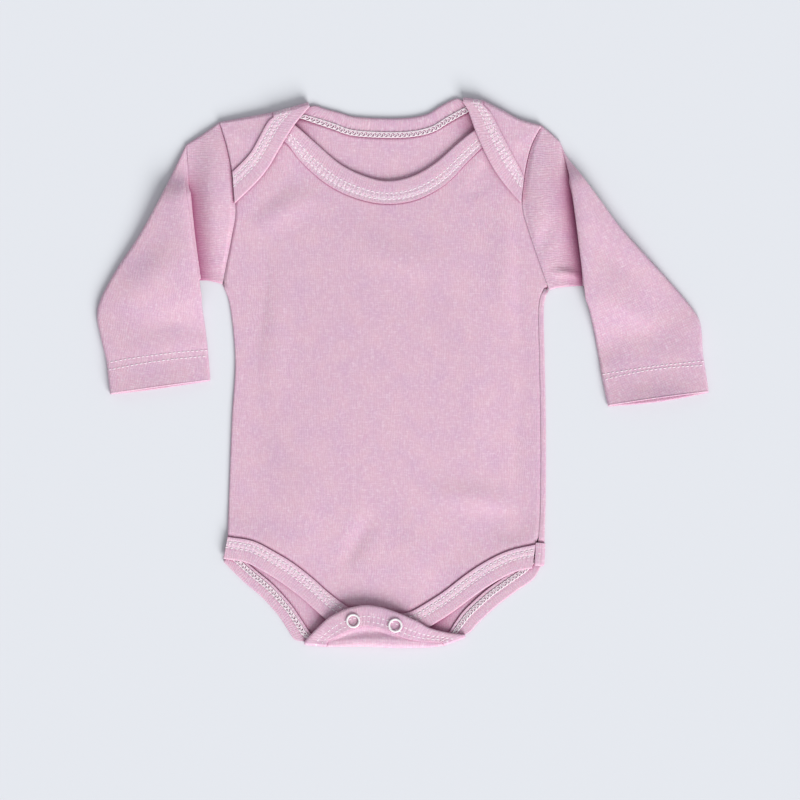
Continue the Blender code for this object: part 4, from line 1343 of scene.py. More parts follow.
@dataclass(frozen=True)
class Body:
    """The outlines that the panels, laps and sleeves share, and how finely they are divided."""

    left_armhole: Points = (
        (-121.5, 166.3),
        (-116.2, 148.5),
        (-113.0, 131.0),
        (-110.8, 107.5),
        (-113.2, 91.0),
        (-119.6, 58.6),
    )
    right_armhole: Points = (
        (92.0, 164.0),
        (84.7, 149.5),
        (80.2, 129.3),
        (78.9, 112.0),
        (82.6, 96.0),
        (96.9, 54.6),
    )
    left_side: Points = (
        (-119.6, 58.6),
        (-114.6, 44.0),
        (-111.2, 8.0),
        (-113.4, -31.4),
        (-115.4, -84.5),
        (-116.2, -109.0),
    )
    right_side: Points = (
        (96.9, 54.6),
        (93.6, 44.0),
        (94.1, 7.0),
        (94.9, -35.0),
        (94.8, -80.0),
        (93.9, -113.0),
    )
    left_shoulder: Points = ((-121.5, 166.3), (-104.0, 169.5))
    right_shoulder: Points = ((92.0, 164.0), (78.0, 168.0), (66.0, 174.2))
    tab_fold: Points = ((-27.0, -181.6), (-2.5, -182.6), (17.6, -182.2))
    front_left_corner: tuple[float, float] = (-119.4, 160.6)
    front_right_corner: tuple[float, float] = (89.6, 159.4)
    side_return: float = 2.4
    corner_rise: float = 1.1
    side_gap: float = 0.1
    fade: float = 24.0
    lap_columns: int = 6 * FINE
    neck_columns: int = 12 * FINE
    leg_columns: int = 7 * FINE
    tab_columns: int = 10 * FINE
    front_neck_columns: int = 18 * FINE
    front_shoulder_columns: int = 3 * FINE
    armhole_rows: int = 10 * FINE
    side_rows: int = 8 * FINE
    lap_rows: int = 4 * FINE
    outline_steps: int = 40
    loft: Loft = Loft()

    @property
    def front_columns(self) -> int:
        """How many columns the front has."""
        return self.front_neck_columns + 2 * self.front_shoulder_columns

    def side_line(self, side: Points, z: Array | float) -> Array:
        """The side edge of a panel that stops short of the other one, which comes round to meet it.

        Args:
            side: the points of the side.
            z: the height, or one for each point.

        Returns:
            The line of points.
        """
        line = at_height(smooth_line(side, self.side_rows), 0.0)
        inset = (self.side_heights(side) - BACK_Z) / 2 + WALL / 2 + self.side_return + self.side_gap
        line += sideways(line, MIDDLE) * inset[:, None]
        line[:, 2] = z
        return line

    def side_heights(self, side: Points) -> Array:
        """Heights of the front layer down a side: it rises where the leg bands lie on each other.

        Args:
            side: the points of the side.

        Returns:
            The height at each point.
        """
        line = smooth_line(side, self.side_rows)
        away = np.linalg.norm(line - line[-1], axis=1)
        return FRONT_Z + self.corner_rise * ease(1 - away / self.fade)

    def side_fold(self, side: Points, from_back: bool) -> Array:
        """Rows that carry a panel round its side edge to the other layer and on to its seam.

        Args:
            side: the points of the side.
            from_back: whether the back comes round, and not the front.

        Returns:
            The rows of points.
        """
        line = at_height(smooth_line(side, self.side_rows), 0.0)
        rows = turned(line, BACK_Z, self.side_heights(side), WALL / 2)
        rows = rows if from_back else rows[::-1]
        across = sideways(line, MIDDLE)
        ends = [rows[-1] + across * self.side_return * share for share in (0.33, 0.67, 1.0)]
        return np.concatenate([rows, np.array(ends)])

    def long_edge(self, top: Array, armhole: Points, side: Array, bottom: Array) -> Array:
        """A panel's edge from its neck corner down the armhole and the side to its leg corner.

        Args:
            top: the corner at the neck.
            armhole: the points of the armhole.
            side: the line down the side.
            bottom: the corner at the leg.

        Returns:
            The line of points.
        """
        outline = smooth_line(armhole, self.outline_steps)
        outline = outline[outline[:, 1] < top[1] - 1.0][:-1]
        points = np.vstack([top[None], at_height(outline, side[0, 2]), side[:1]])
        return np.concatenate([smooth_line(points, self.armhole_rows), side[1:-1], bottom[None]])


@dataclass(frozen=True)
class BackPanel:
    """The back body with both shoulder laps and the crotch tab, its right side round on to the front."""

    body: Body
    neck: BackNeck
    leg: BackLeg
    finishes: Finishes
    lap_creases: tuple[Crease, ...] = (
        Crease(-116.0, 160.0, -95.0, 150.0, 1.5, 5.0, 0.35),
        Crease(88.0, 158.0, 70.0, 150.0, -1.0, 5.0, 0.35),
    )
    tab_creases: tuple[Crease, ...] = (
        Crease(-52.0, -176.5, 24.0, -177.5, 5.5, 3.2, -1.3),
        Crease(-46.0, -180.5, 14.0, -181.0, 1.0, 3.0, 0.9),
    )
    # spots of painted shade inside the leg openings beside the tab and in the neck's corners
    painted_shade_spots: tuple[PaintedShadeSpot, ...] = (
        PaintedShadeSpot(-46.0, -161.0, 13.0, 0.95),
        PaintedShadeSpot(22.0, -164.0, 13.0, 0.95),
        PaintedShadeSpot(43.0, 165.0, 8.0, 0.7),
        PaintedShadeSpot(-68.0, 160.0, 8.0, 0.5),
    )
    fold_steps: int = 14
    lap_fade: float = 5.0
    tab_fade: float = 3.0

    def lap(self, shoulder: Points, peak: Section, band: Array, armhole: Points) -> tuple[Array, Array]:
        """The rows round a shoulder's fold, and the lap that they carry on to the front.

        Args:
            shoulder: the points of the shoulder line.
            peak: the band's section at the neck's peak.
            band: the pairs of points of the lap's band.
            armhole: the points of the armhole.

        Returns:
            The rows of the fold and those of the lap.
        """
        body = self.body
        edge = smooth_line((*shoulder, past(peak)), body.lap_columns)
        seam = beside(band)
        heights = np.linspace(LAP_Z, seam[-1, 2], body.lap_columns + 1)
        rows = turned(edge, BACK_Z, heights, WALL / 2, (None, peak))
        top = rows[-1]
        seam[-1] = top[-1]
        outline = smooth_line(armhole, body.outline_steps)
        part = outline[(outline[:, 1] < top[0, 1]) & (outline[:, 1] > seam[0, 1])]
        down = smooth_line(np.vstack([top[:1], at_height(part, LAP_Z), seam[:1]]), body.lap_rows)
        corner = np.repeat(top[-1:], body.lap_rows + 1, axis=0)
        return rows, patch(top, seam, down, corner)

    def tab(self, band: Array) -> tuple[Array, Array]:
        """The rows round the crotch fold, and the tab that they carry on to the front.

        Args:
            band: the pairs of points of the tab's band.

        Returns:
            The rows of the fold and those of the tab.
        """
        body = self.body
        seam = beside(band)
        ends = (self.leg.left_fold, self.leg.right_fold)
        edge = smooth_line((past(ends[0]), *body.tab_fold, past(ends[1])), body.tab_columns)
        rows = turned(edge, BACK_Z, seam[:, 2], WALL / 2, ends)
        top = rows[-1]
        seam[[0, -1]] = top[[0, -1]]
        corners = [np.repeat(top[[end]], body.lap_rows + 1, axis=0) for end in (0, -1)]
        return rows, patch(top, seam, *corners)

    def make(self) -> None:
        """Builds the panel."""
        body = self.body
        left_band, neck_band, right_band, _ = self.neck.stretches(
            body.lap_columns, body.neck_columns, self.fold_steps
        )
        left_leg_band, tab_band, right_leg_band, _ = self.leg.stretches(
            body.leg_columns, body.tab_columns, self.fold_steps
        )
        peaks = (self.neck.left_peak, self.neck.right_peak)
        left_rows, left_lap = self.lap(body.left_shoulder, peaks[0], left_band, body.left_armhole)
        right_rows, right_lap = self.lap(body.right_shoulder, peaks[1], right_band, body.right_armhole)
        tab_rows, tab = self.tab(tab_band)
        raise_creases(left_lap, self.lap_creases, self.lap_fade)
        raise_creases(right_lap, self.lap_creases, self.lap_fade)
        raise_creases(tab, self.tab_creases, self.tab_fade)
        neck = beside(neck_band, BACK_Z)[1:-1]
        top = np.concatenate([left_rows[0], neck, right_rows[0][::-1]])
        right_leg = beside(right_leg_band, BACK_Z)[1:]
        fold = body.side_fold(body.right_side, True)
        right_leg[-1] = fold[0][-1]
        bottom = np.concatenate([beside(left_leg_band, BACK_Z)[:-1], tab_rows[0], right_leg])
        left_side = body.side_line(body.left_side, BACK_Z)
        left = body.long_edge(top[0], body.left_armhole, left_side, bottom[0])
        right = body.long_edge(top[-1], body.right_armhole, fold[0], bottom[-1])
        main = relaxed(patch(top, bottom, left, right))
        main[-len(fold[0]) :, -1] = fold[0]
        grids = [main, fold, left_rows, left_lap, right_rows, right_lap, tab_rows, tab]
        piece = dress(shell("back_panel_jersey", grids, WALL), self.finishes.jersey)
        # paints shade into the spots listed above
        mark(piece, "painted_shade", self.shade(piece))
        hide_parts("back_panel")
        LOG.info("back panel: %d faces", len(piece.data.polygons))

    def shade(self, piece: bpy.types.Object) -> Array:
        """How much painted shade each point of the panel's lower layer gets from the spots.

        Args:
            piece: the mesh object.

        Returns:
            The amount at each point.
        """
        places = np.empty(3 * len(piece.data.vertices), np.float32)
        piece.data.vertices.foreach_get("co", places)
        x, y, z = places.reshape(-1, 3).T / MM
        total = np.zeros(len(x))
        for painted_shade in self.painted_shade_spots:
            away = (x - painted_shade.x) ** 2 + (y - painted_shade.y) ** 2
            total += painted_shade.strength * np.exp(-away / painted_shade.radius**2)
        return total * (z < LAP_Z - WALL)


@dataclass(frozen=True)
class FrontPanel:
    """The front body in one piece, its left side round to the surface, with soft creases of laying down."""

    body: Body
    finishes: Finishes
    creases: tuple[Crease, ...] = (
        Crease(61.0, 136.0, 46.0, 120.0, 0.0, 3.6, -1.1),
        Crease(-106.0, 110.0, -82.0, 126.0, 1.0, 6.5, -1.2),
        Crease(-96.0, 96.0, -58.0, 118.0, 2.0, 8.0, 0.9),
        Crease(79.0, 100.0, 84.0, 22.0, 2.0, 6.5, -1.5),
        Crease(66.0, 96.0, 70.0, 40.0, 0.0, 8.0, 0.9),
        Crease(-100.0, 86.0, -97.0, 20.0, 2.0, 8.0, -1.0),
        Crease(-88.0, 60.0, -84.0, -10.0, 0.0, 10.0, 0.8),
        Crease(-22.0, -98.0, -38.0, -126.0, 0.0, 5.5, -1.1),
        Crease(-2.0, -104.0, 18.0, -138.0, 0.0, 8.0, 0.9),
        Crease(58.0, -92.0, 78.0, -112.0, 0.0, 7.0, -1.4),
        Crease(-78.0, -60.0, -60.0, -112.0, 3.0, 11.0, 0.9),
        Crease(30.0, 30.0, 52.0, -50.0, 6.0, 14.0, 0.8),
        Crease(-30.0, 88.0, 24.0, 70.0, -4.0, 12.0, 0.7),
        Crease(84.0, -20.0, 80.0, -92.0, 0.0, 7.0, -1.0),
        Crease(24.0, -81.0, 72.0, -90.0, 2.0, 8.0, 1.1),
    )
    crease_share: float = 1.25
    crease_edge: float = 1.0
    crease_fade: float = 14.0

    def lifted(self, flat: Array) -> Array:
        """The grid at its heights: the loft over the back, and a rise towards each edge that lies higher.

        Args:
            flat: the grid as it lies flat.

        Returns:
            The lifted grid.
        """
        level = flat.copy()
        level[..., 2] = FRONT_Z + self.body.loft.at(flat[..., 0], flat[..., 1])
        for edge in (flat[0], flat[-1]):
            away = np.linalg.norm(flat[..., :2] - edge[None, :, :2], axis=2)
            own = FRONT_Z + self.body.loft.at(edge[:, 0], edge[:, 1])
            level[..., 2] += (edge[:, 2] - own)[None] * ease(1 - away / self.body.fade)
        return level

    def make(self, neck_band: Array, leg_band: Array) -> None:
        """Builds the panel between its neck band and its leg band.

        Args:
            neck_band: the pairs of points of the neck band.
            leg_band: those of the leg band.
        """
        body = self.body
        neck, leg = beside(neck_band), beside(leg_band)
        count = body.front_shoulder_columns
        left_shoulder = smooth_line((body.front_left_corner, neck[0, :2]), count)[:-1]
        right_shoulder = smooth_line((neck[-1, :2], body.front_right_corner), count)[1:]
        top = np.concatenate([at_height(left_shoulder, FRONT_Z), neck, at_height(right_shoulder, FRONT_Z)])
        fold = body.side_fold(body.left_side, False)
        leg[0] = fold[0][-1]
        right_side = body.side_line(body.right_side, body.side_heights(body.right_side))
        left = body.long_edge(top[0], body.left_armhole, fold[0], leg[0])
        right = body.long_edge(top[-1], body.right_armhole, right_side, leg[-1])
        main = self.lifted(relaxed(patch(top, leg, left, right)))
        main[:, 0] = left
        main[:, -1] = right
        fade = ease((edge_distance(main) - self.crease_edge) / self.crease_fade)
        lowest = np.minimum(main[..., 2], FRONT_Z)
        main[..., 2] += relief(self.creases, main[..., 0], main[..., 1]) * fade * self.crease_share
        main[..., 2] = np.maximum(main[..., 2], lowest)
        piece = dress(shell("front_panel_jersey", [main, fold], WALL), self.finishes.jersey)
        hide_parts("front_panel")
        LOG.info("front panel: %d faces", len(piece.data.polygons))


class Tuck(NamedTuple):
    """The tuck at the underarm: the line of its edge, where it starts and how much cloth it hides."""

    outer_x: float
    outer_y: float
    inner_x: float
    inner_y: float
    bow: float
    flat_share: float
    hidden: float

    @property
    def width(self) -> float:
        """The length of its edge."""
        return math.hypot(self.inner_x - self.outer_x, self.inner_y - self.outer_y)

    @property
    def outward(self) -> Array:
        """The direction across its edge towards the cuff."""
        ends = np.array([[self.outer_x, self.outer_y, 0.0], [self.inner_x, self.inner_y, 0.0]])
        return -sideways(ends, MIDDLE)[0, :2]

    def beside(self, places: Array) -> tuple[Array, Array]:
        """Where places lie by its edge.

        Args:
            places: places seen from above.

        Returns:
            How far down the edge each lies, from the outer end, and how far past it towards the cuff.
        """
        start = np.array([self.outer_x, self.outer_y])
        down = (places - start) @ (np.array([self.inner_x, self.inner_y]) - start) / self.width
        bow = self.bow * np.sin(math.pi * np.clip(down / self.width, 0, 1))
        return down, (places - start) @ self.outward - bow * np.sign(self.outward[0])


class HemRow(NamedTuple):
    """A row of stitches on a hem: its share of the hem at the outer and the inner edge, and its phase."""

    outer: float
    inner: float
    phase: float


class Marks(NamedTuple):
    """The numbers of the rings where a sleeve's tuck starts and ends, and of the last one before its hem."""

    tuck_start: int
    tuck_end: int
    hem_start: int


@dataclass(frozen=True)
class Sleeve:
    """A sleeve tube that lies flat, with one tuck at the underarm and a turned hem at its open cuff.

    A ring has a row for each place across the sleeve: its middle, its upward side, its share of the
    thickness, its wall and its gap.
    """

    side: Side
    armhole: Points
    upper: tuple[Ring, ...]
    tuck: Tuck
    forearm: tuple[Ring, ...]
    hem: tuple[Ring, ...]
    finishes: Finishes
    upper_creases: tuple[Crease, ...] = ()
    creases: tuple[Crease, ...] = ()
    rows: tuple[HemRow, ...] = (HemRow(0.07, 0.07, 0.0), HemRow(0.3, 0.26, 0.4))
    row_bow: float = 0.0
    thread: StitchRow = StitchRow(0.0, 0.0, long=2.0, pitch=3.0, wide=0.7, high=0.55, rise=0.05)
    puff: float = 2.6
    # painted shade on the upper arm beside the tuck's edge: its width, and where it starts and fades in along
    # the edge
    lean: float = 0.62
    painted_shade_width: float = 8.0
    painted_shade_from: float = 0.08
    painted_shade_fade: float = 0.35
    cuff_opening: float = 0.0
    cuff_pull: tuple[float, float] = (-0.3, 0.9)
    middle_z: float = WALL + GAP / 2
    hem_wall: float = 1.6
    hem_gap: float = 0.8
    rim_angles: tuple[float, ...] = (0.0, 25.0, 50.0, 70.0, 84.0)
    radius: float = WALL + GAP
    tuck_steps: int = 10
    opening: float = 0.3
    rise_fade: float = 22.0
    top_fade: float = 52.0
    rise_clear: float = 0.5
    seam_gap: float = 0.12
    edge: float = 1.5
    flat_points: int = 54
    edge_points: int = 7
    outline_steps: int = 160
    steps: int = 6
    hem_steps: int = 6
    hem_rings: int = 24
    upper_fade: float = 5.0
    forearm_fade: float = 9.0
    swell_fade: float = 11.0
    hem_ramp: float = 16.0
    bulge_power: float = 0.7
    mouth_power: float = 1.2
    mouth_rings: int = 12
    path_steps: int = 100
    flat_share: float = 1.25
    stitch_margin: int = 3

    def across(self, width: float) -> tuple[Array, Array]:
        """Places across the flat tube as shares of its width, and the share of its thickness at each.

        Args:
            width: how wide the tube is.

        Returns:
            The places and the shares of the thickness.
        """
        near = self.edge * (1 - np.cos(np.linspace(0, np.pi / 2, self.edge_points)))
        full = rounded(near, self.edge)
        flat = np.linspace(self.edge, width - self.edge, self.flat_points + 1)[1:-1]
        places = np.concatenate([near, flat, width - near[::-1]])
        return places / width, np.concatenate([full, np.ones(len(flat)), full[::-1]])

    def line(self, ring: Ring, shares: Array) -> Array:
        """Points across the sleeve along a ring.

        Args:
            ring: the ring.
            shares: the places as shares of the width.

        Returns:
            The points.
        """
        outer = np.array([ring.outer_x, ring.outer_y])
        inner = np.array([ring.inner_x, ring.inner_y])
        made = outer + (inner - outer) * shares[:, None]
        made[:, 0] += ring.bow * np.sin(math.pi * shares)
        return made

    def flat_ring(
        self, line: Array, z: Array | float, full: Array, wall: float = WALL, gap: float = GAP
    ) -> Array:
        """A level ring along a line seen from above.

        Args:
            line: the points across the sleeve.
            z: the height of its middle.
            full: the share of the thickness at each point.
            wall: the thickness of a layer.
            gap: the air between the layers.

        Returns:
            Each point with its level, its share of the thickness, its wall and its gap.
        """
        level = np.tile([0.0, 0.0, 1.0], (len(line), 1))
        sizes = [np.full(len(line), size) for size in (wall, gap)]
        return np.column_stack([at_height(line, z), level, full, *sizes])

    def ring(self, ring: Ring, z: float | None = None, wall: float = WALL, gap: float = GAP) -> Array:
        """A ring of the table, level at a height."""
        shares, full = self.across(math.hypot(ring.inner_x - ring.outer_x, ring.inner_y - ring.outer_y))
        return self.flat_ring(self.line(ring, shares), self.middle_z if z is None else z, full, wall, gap)

    def armhole_ring(self) -> Array:
        """The sleeve's end in the armhole, a gap outside the body.

        Returns:
            The ring.
        """
        outline = smooth_line(self.armhole, self.outline_steps)
        outline = outline - sideways(outline, MIDDLE)[:, :2] * self.seam_gap
        length = run_of(outline)[-1]
        shares, full = self.across(length)
        return self.flat_ring(resampled(outline, shares * length), self.middle_z, full)

    def tuck_path(self, share: float) -> Array:
        """The sleeve's path through its tuck at a share of the width from the outer edge.

        Args:
            share: the share.

        Returns:
            Rows of distance past the tuck's edge towards the cuff, height and slope angle.
        """
        tuck = self.tuck
        turn = math.pi * float(ease((share - tuck.flat_share) / self.opening))
        reach = (share - tuck.flat_share - self.opening / 2) / (1 - tuck.flat_share)
        hidden = tuck.hidden * float(ease(reach))
        first = np.linspace(0, turn, self.tuck_steps + 1)
        second = first[::-1]
        back = np.column_stack([self.radius * np.sin(first), self.radius * (1 - np.cos(first)), first])
        far = back[-1, 0] + hidden * math.cos(turn)
        high = back[-1, 1] + hidden * math.sin(turn)
        forward = far + self.radius * (math.sin(turn) - np.sin(second))
        rise = high + self.radius * (np.cos(second) - math.cos(turn))
        made = np.concatenate([back, np.column_stack([forward, rise, second])])
        made[:, 0] += self.middle_z - made[:, 0].min()
        return made

    def tuck_rings(self) -> list[Array]:
        """The rings that carry the sleeve under its tuck's edge and back over it.

        Returns:
            The rings.
        """
        outward = self.tuck.outward
        shares, full = self.across(self.tuck.width)
        line = self.line(Ring(*self.tuck[:5]), shares)
        paths = np.array([self.tuck_path(share) for share in shares])
        rings = []
        for forward, rise, angle in paths.transpose(1, 2, 0):
            ring = self.flat_ring(line + outward * forward[:, None], self.middle_z + rise, full)
            ring[:, 3:6] = np.column_stack([-outward * np.sin(angle)[:, None], np.cos(angle)])
            rings.append(ring)
        return rings

    def rise(self, places: Array, fade: float) -> Array:
        """How high the forearm is carried over the tuck.

        Args:
            places: places seen from above.
            fade: the distance over which it comes back down.

        Returns:
            One height for each place.
        """
        down, out = self.tuck.beside(places)
        shares = np.clip(down / self.tuck.width, 0, 1)
        table = np.linspace(0, 1, self.path_steps + 1)
        paths = [self.tuck_path(share) for share in table]
        farthest = np.interp(shares, table, [path[:, 0].max() for path in paths])
        height = np.interp(shares, table, [path[-1, 1] for path in paths])
        clear = self.middle_z + self.rise_clear
        ahead = ease((out - farthest - clear) / fade)
        below = ease((down - self.tuck.width - clear) / fade)
        return height * (1 - ahead) * (1 - below)

    def rings(self) -> tuple[Array, Marks]:
        """All rings from the armhole to the cuff, and the marks among them.

        Returns:
            The rings and the marks.
        """
        tuck = self.tuck_rings()
        upper = between([self.armhole_ring(), *map(self.ring, self.upper), tuck[0]], 2 * self.steps)
        forearm = between([tuck[-1], *map(self.ring, (*self.forearm, self.hem[0]))], self.steps)
        for row in forearm[1:]:
            row[:, 2] = self.middle_z + self.rise(row[:, :2], self.rise_fade)
            row[:, 3:6] = (0.0, 0.0, 1.0)
        first = self.ring(self.hem[1], self.hem_wall + GAP / 2, self.hem_wall, GAP)
        cuff = self.ring(self.hem[2], self.hem_wall + self.hem_gap / 2, self.hem_wall, self.hem_gap)
        shares = ease(np.linspace(0, 1, self.hem_steps + 1)[1:])
        step = [forearm[-1] + (first - forearm[-1]) * share for share in shares]
        turn_in = [first + (cuff - first) * share for share in np.linspace(0, 1, self.hem_rings + 1)[1:-1]]
        out = unit(cuff[:, :2] - first[:, :2])
        rim = []
        for angle in np.radians(self.rim_angles):
            ring = cuff.copy()
            ring[:, :2] -= out * self.hem_wall / 2 * (1 - math.sin(angle))
            loss = self.hem_wall * (1 - math.cos(angle))
            ring[:, 7:9] += (-loss, loss)
            rim.append(ring)
        start = len(upper) - 1
        marks = Marks(start, start + len(tuck) - 1, start + len(tuck) + len(forearm) - 2)
        return np.array([*upper[:-1], *tuck, *forearm[1:], *step, *turn_in, *rim]), marks

    def layers(self, rings: Array, marks: Marks) -> tuple[Array, Array, Array]:
        """The faces of the tube's wall.

        Args:
            rings: all rings.
            marks: the marks among them.

        Returns:
            The upper face, and the closed loops round the outside and round the inside.
        """
        middle, up = rings[..., :3], unit(rings[..., 3:6])
        full, wall, gap = rings[..., 6], rings[..., 7], rings[..., 8]
        number = np.arange(len(rings))
        hem = marks.hem_start + self.hem_steps
        cuff = ease((number - hem) / (len(rings) - hem))[:, None] ** 2
        shares = np.linspace(0, 1, full.shape[1])
        mouth = self.cuff_opening * cuff * np.sin(np.pi * shares) ** self.mouth_power
        lift = self.top_lift(middle, number, marks) * full + mouth
        ahead = at_height(unit(middle[-1, :, :2] - middle[-self.mouth_rings, :, :2]), 0.0)
        pull = ahead * mouth[..., None]
        above = pull * self.cuff_pull[0]
        above[..., 2] += lift
        below = pull * self.cuff_pull[1]
        inset = WALL / np.linalg.norm(middle[:, -1] - middle[:, 0], axis=1)[:, None, None]
        slit = middle * (1 - 2 * inset) + inset * (middle[:, :1] + middle[:, -1:])
        made = []
        for line, half in ((middle, wall + gap / 2), (slit, gap / 2)):
            offset = up * (full * half)[..., None]
            top, under = line + offset + above, line - offset + below
            made.append(np.concatenate([top, under[:, -2:0:-1]], axis=1))
        return made[0][:, : full.shape[1]], *made

    def grain(self, outside: Array, middle: Array, marks: Marks) -> Array:
        """The grain of the cloth at each outside point: the forearm's runs on to its cuff.

        Args:
            outside: the outside points of each ring.
            middle: the places of each ring.
            marks: the marks among the rings.

        Returns:
            The grain at each point.
        """
        axis = unit((middle[-1] - middle[marks.tuck_end]).mean(axis=0)[:2])
        flat = outside[..., :2]
        lower = np.stack([flat @ np.array([-axis[1], axis[0]]), flat @ axis], axis=-1)
        above = np.arange(len(middle)) < (marks.tuck_start + marks.tuck_end) / 2
        return np.where(above[:, None, None], flat[..., ::-1], lower).reshape(-1, 2)

    def make(self) -> None:
        """Builds the sleeve and its hem stitches."""
        rings, marks = self.rings()
        middle = rings[..., :3]
        top, outside, inside = self.layers(rings, marks)
        count, loop = outside.shape[:2]
        faces = [grid_faces(count, loop, start, wrap=True) for start in (0, count * loop)]
        for row in (0, count - 1):
            outer = row * loop + np.arange(loop)
            inner = outer + count * loop
            faces.append(np.stack([outer, np.roll(outer, -1), np.roll(inner, -1), inner], axis=1))
        points = np.concatenate([outside.reshape(-1, 3), inside.reshape(-1, 3)])
        grain = np.tile(self.grain(outside, middle, marks), (2, 1))
        name = f"sleeve_{self.side.value}"
        piece = mesh_object(f"{name}_jersey", points, np.concatenate(faces), grain)
        # painted shade beside the tuck's edge, kept for the material
        mark(piece, "painted_shade", np.tile(self.painted_shade(outside[..., :2], marks).ravel(), 2))
        cleaned(piece)
        dress(piece, self.finishes.jersey)
        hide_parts(name)
        threads = self.stitch(top, marks.hem_start)

    def painted_shade(self, places: Array, marks: Marks) -> Array:
        """How much painted shade each point of the upper arm gets beside the tuck's edge.

        Args:
            places: the points seen from above, ring by ring.
            marks: the marks among the rings.

        Returns:
            From nothing to one, for each point.
        """
        down, out = self.tuck.beside(places)
        share = np.clip(down / self.tuck.width, 0, 1)
        near = np.exp(-((out / self.painted_shade_width) ** 2)) * ease((share - self.painted_shade_from) / self.painted_shade_fade)
        return near * (np.arange(len(places)) <= marks.tuck_start)[:, None]

    def top_lift(self, middle: Array, number: Array, marks: Marks) -> Array:
        """How far the upper layer stands off: the swell of the tube, its creases and the hem's thickness.

        Args:
            middle: the rings' middle lines.
            number: the rings' numbers.
            marks: the marks among them.

        Returns:
            A height for each point of each ring.
        """
        x, y = middle[..., 0], middle[..., 1]
        before = ease((marks.tuck_start + 1 - number) / self.upper_fade) * ease(number / self.upper_fade)
        after = ease((number - marks.tuck_end) / self.forearm_fade)[:, None]
        swell = ease((number - marks.tuck_end) / self.swell_fade)[:, None]
        bulge = np.sin(np.pi * np.linspace(0, 1, middle.shape[1]) ** self.lean) ** self.bulge_power
        lift = relief(self.upper_creases, x, y) * before[:, None] + relief(self.creases, x, y) * after
        lift = lift + self.puff * bulge[None, :] * swell
        past_tuck = middle[marks.tuck_end :, :, :2]
        extra = self.rise(past_tuck, self.top_fade) - self.rise(past_tuck, self.rise_fade)
        lift[marks.tuck_end :] += extra * after[marks.tuck_end :]
        step = 2 * self.hem_wall + GAP / 2 - self.middle_z - WALL
        to_hem = number - marks.hem_start
        ramp = ease((to_hem + self.hem_ramp) / self.hem_ramp) * (1 - ease(to_hem / self.hem_steps))
        return lift + step * ramp[:, None]

    def stitch(self, top: Array, hem_start: int) -> list[bpy.types.Object]:
        """Sews the hem's rows on the upper face.

        Args:
            top: the upper points of each ring.
            hem_start: the ring at which the hem starts.

        Returns:
            The threads.
        """
        made = self.thread
        count = top.shape[1]
        shares, index = np.linspace(0, 1, count), np.arange(count)
        first, last = hem_start + self.hem_steps, len(top) - 1 - len(self.rim_angles)
        threads = []
        for number, row in enumerate(self.rows):
            place = row.outer + (row.inner - row.outer) * shares - self.row_bow * np.sin(np.pi * shares)
            where = first + place * (last - first)
            low = np.floor(where).astype(int)
            part = (where - low)[:, None]
            line = top[low, index] * (1 - part) + top[low + 1, index] * part
            line = line[self.stitch_margin : -self.stitch_margin]
            stops = np.arange(1.0 + row.phase * made.pitch, run_of(line)[-1] - 1.0, made.pitch)
            along = unit(resampled(line, stops + 0.2) - resampled(line, stops - 0.2))
            up = np.tile([0.0, 0.0, 1.0], (len(stops), 1))
            spots = np.stack([resampled(line, stops) + up * made.rise, along, up], axis=1)
            name = f"sleeve_{self.side.value}_hem_stitches_{number + 1}"
            thread = thread_stitches(name, spots, made.long, made.wide, made.high)
            threads.append(dress(thread, self.finishes.thread))
        return threads


@dataclass(frozen=True)
class Snap:
    """One fastened snap: its open prong ring in fine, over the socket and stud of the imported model."""

    side: Side
    finishes: Finishes
    outer: float = 4.75
    hole: float = 3.3
    turns: int = 96
    around: int = 20
    prong_count: int = 5
    prong_dip: float = 0.1
    squareness: float = 0.75
    hole_slope: float = 0.25

    def make(self) -> None:
        """Builds the ring, rounded, with a slight dip over each prong."""
        node = f"snap_ring_{self.side.value}"
        low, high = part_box(node)
        centre = (np.array(low) + np.array(high)) / 2 / MM
        tall = (high[2] - low[2]) / MM
        turn = np.linspace(0, 2 * np.pi, self.turns, endpoint=False)[:, None]
        roll = np.linspace(0, 2 * np.pi, self.around, endpoint=False)[None, :]
        flat = np.sign(np.cos(roll)) * np.abs(np.cos(roll)) ** self.squareness
        radius = (self.outer + self.hole) / 2 + (self.outer - self.hole) / 2 * flat
        dip = self.prong_dip * np.maximum(0, np.cos(self.prong_count * turn)) ** 6
        height = tall / 2 * np.sin(roll) * (1 - self.hole_slope * np.maximum(0, -flat))
        height = height - dip * (np.sin(roll) > 0)
        points = centre + np.stack([radius * np.cos(turn), radius * np.sin(turn), height], axis=-1)
        first = np.arange(self.around)
        last = first + (self.turns - 1) * self.around
        close = np.stack([last, np.roll(last, -1), np.roll(first, -1), first], axis=1)
        faces = np.concatenate([grid_faces(self.turns, self.around, wrap=True), close])
        piece = mesh_object(f"{node}_rounded", points.reshape(-1, 3), faces)
        cleaned(piece)
        dress(piece, self.finishes.enamel)
        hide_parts(node)
        LOG.info("%s: %.1f mm across", piece.name, 2 * self.outer)


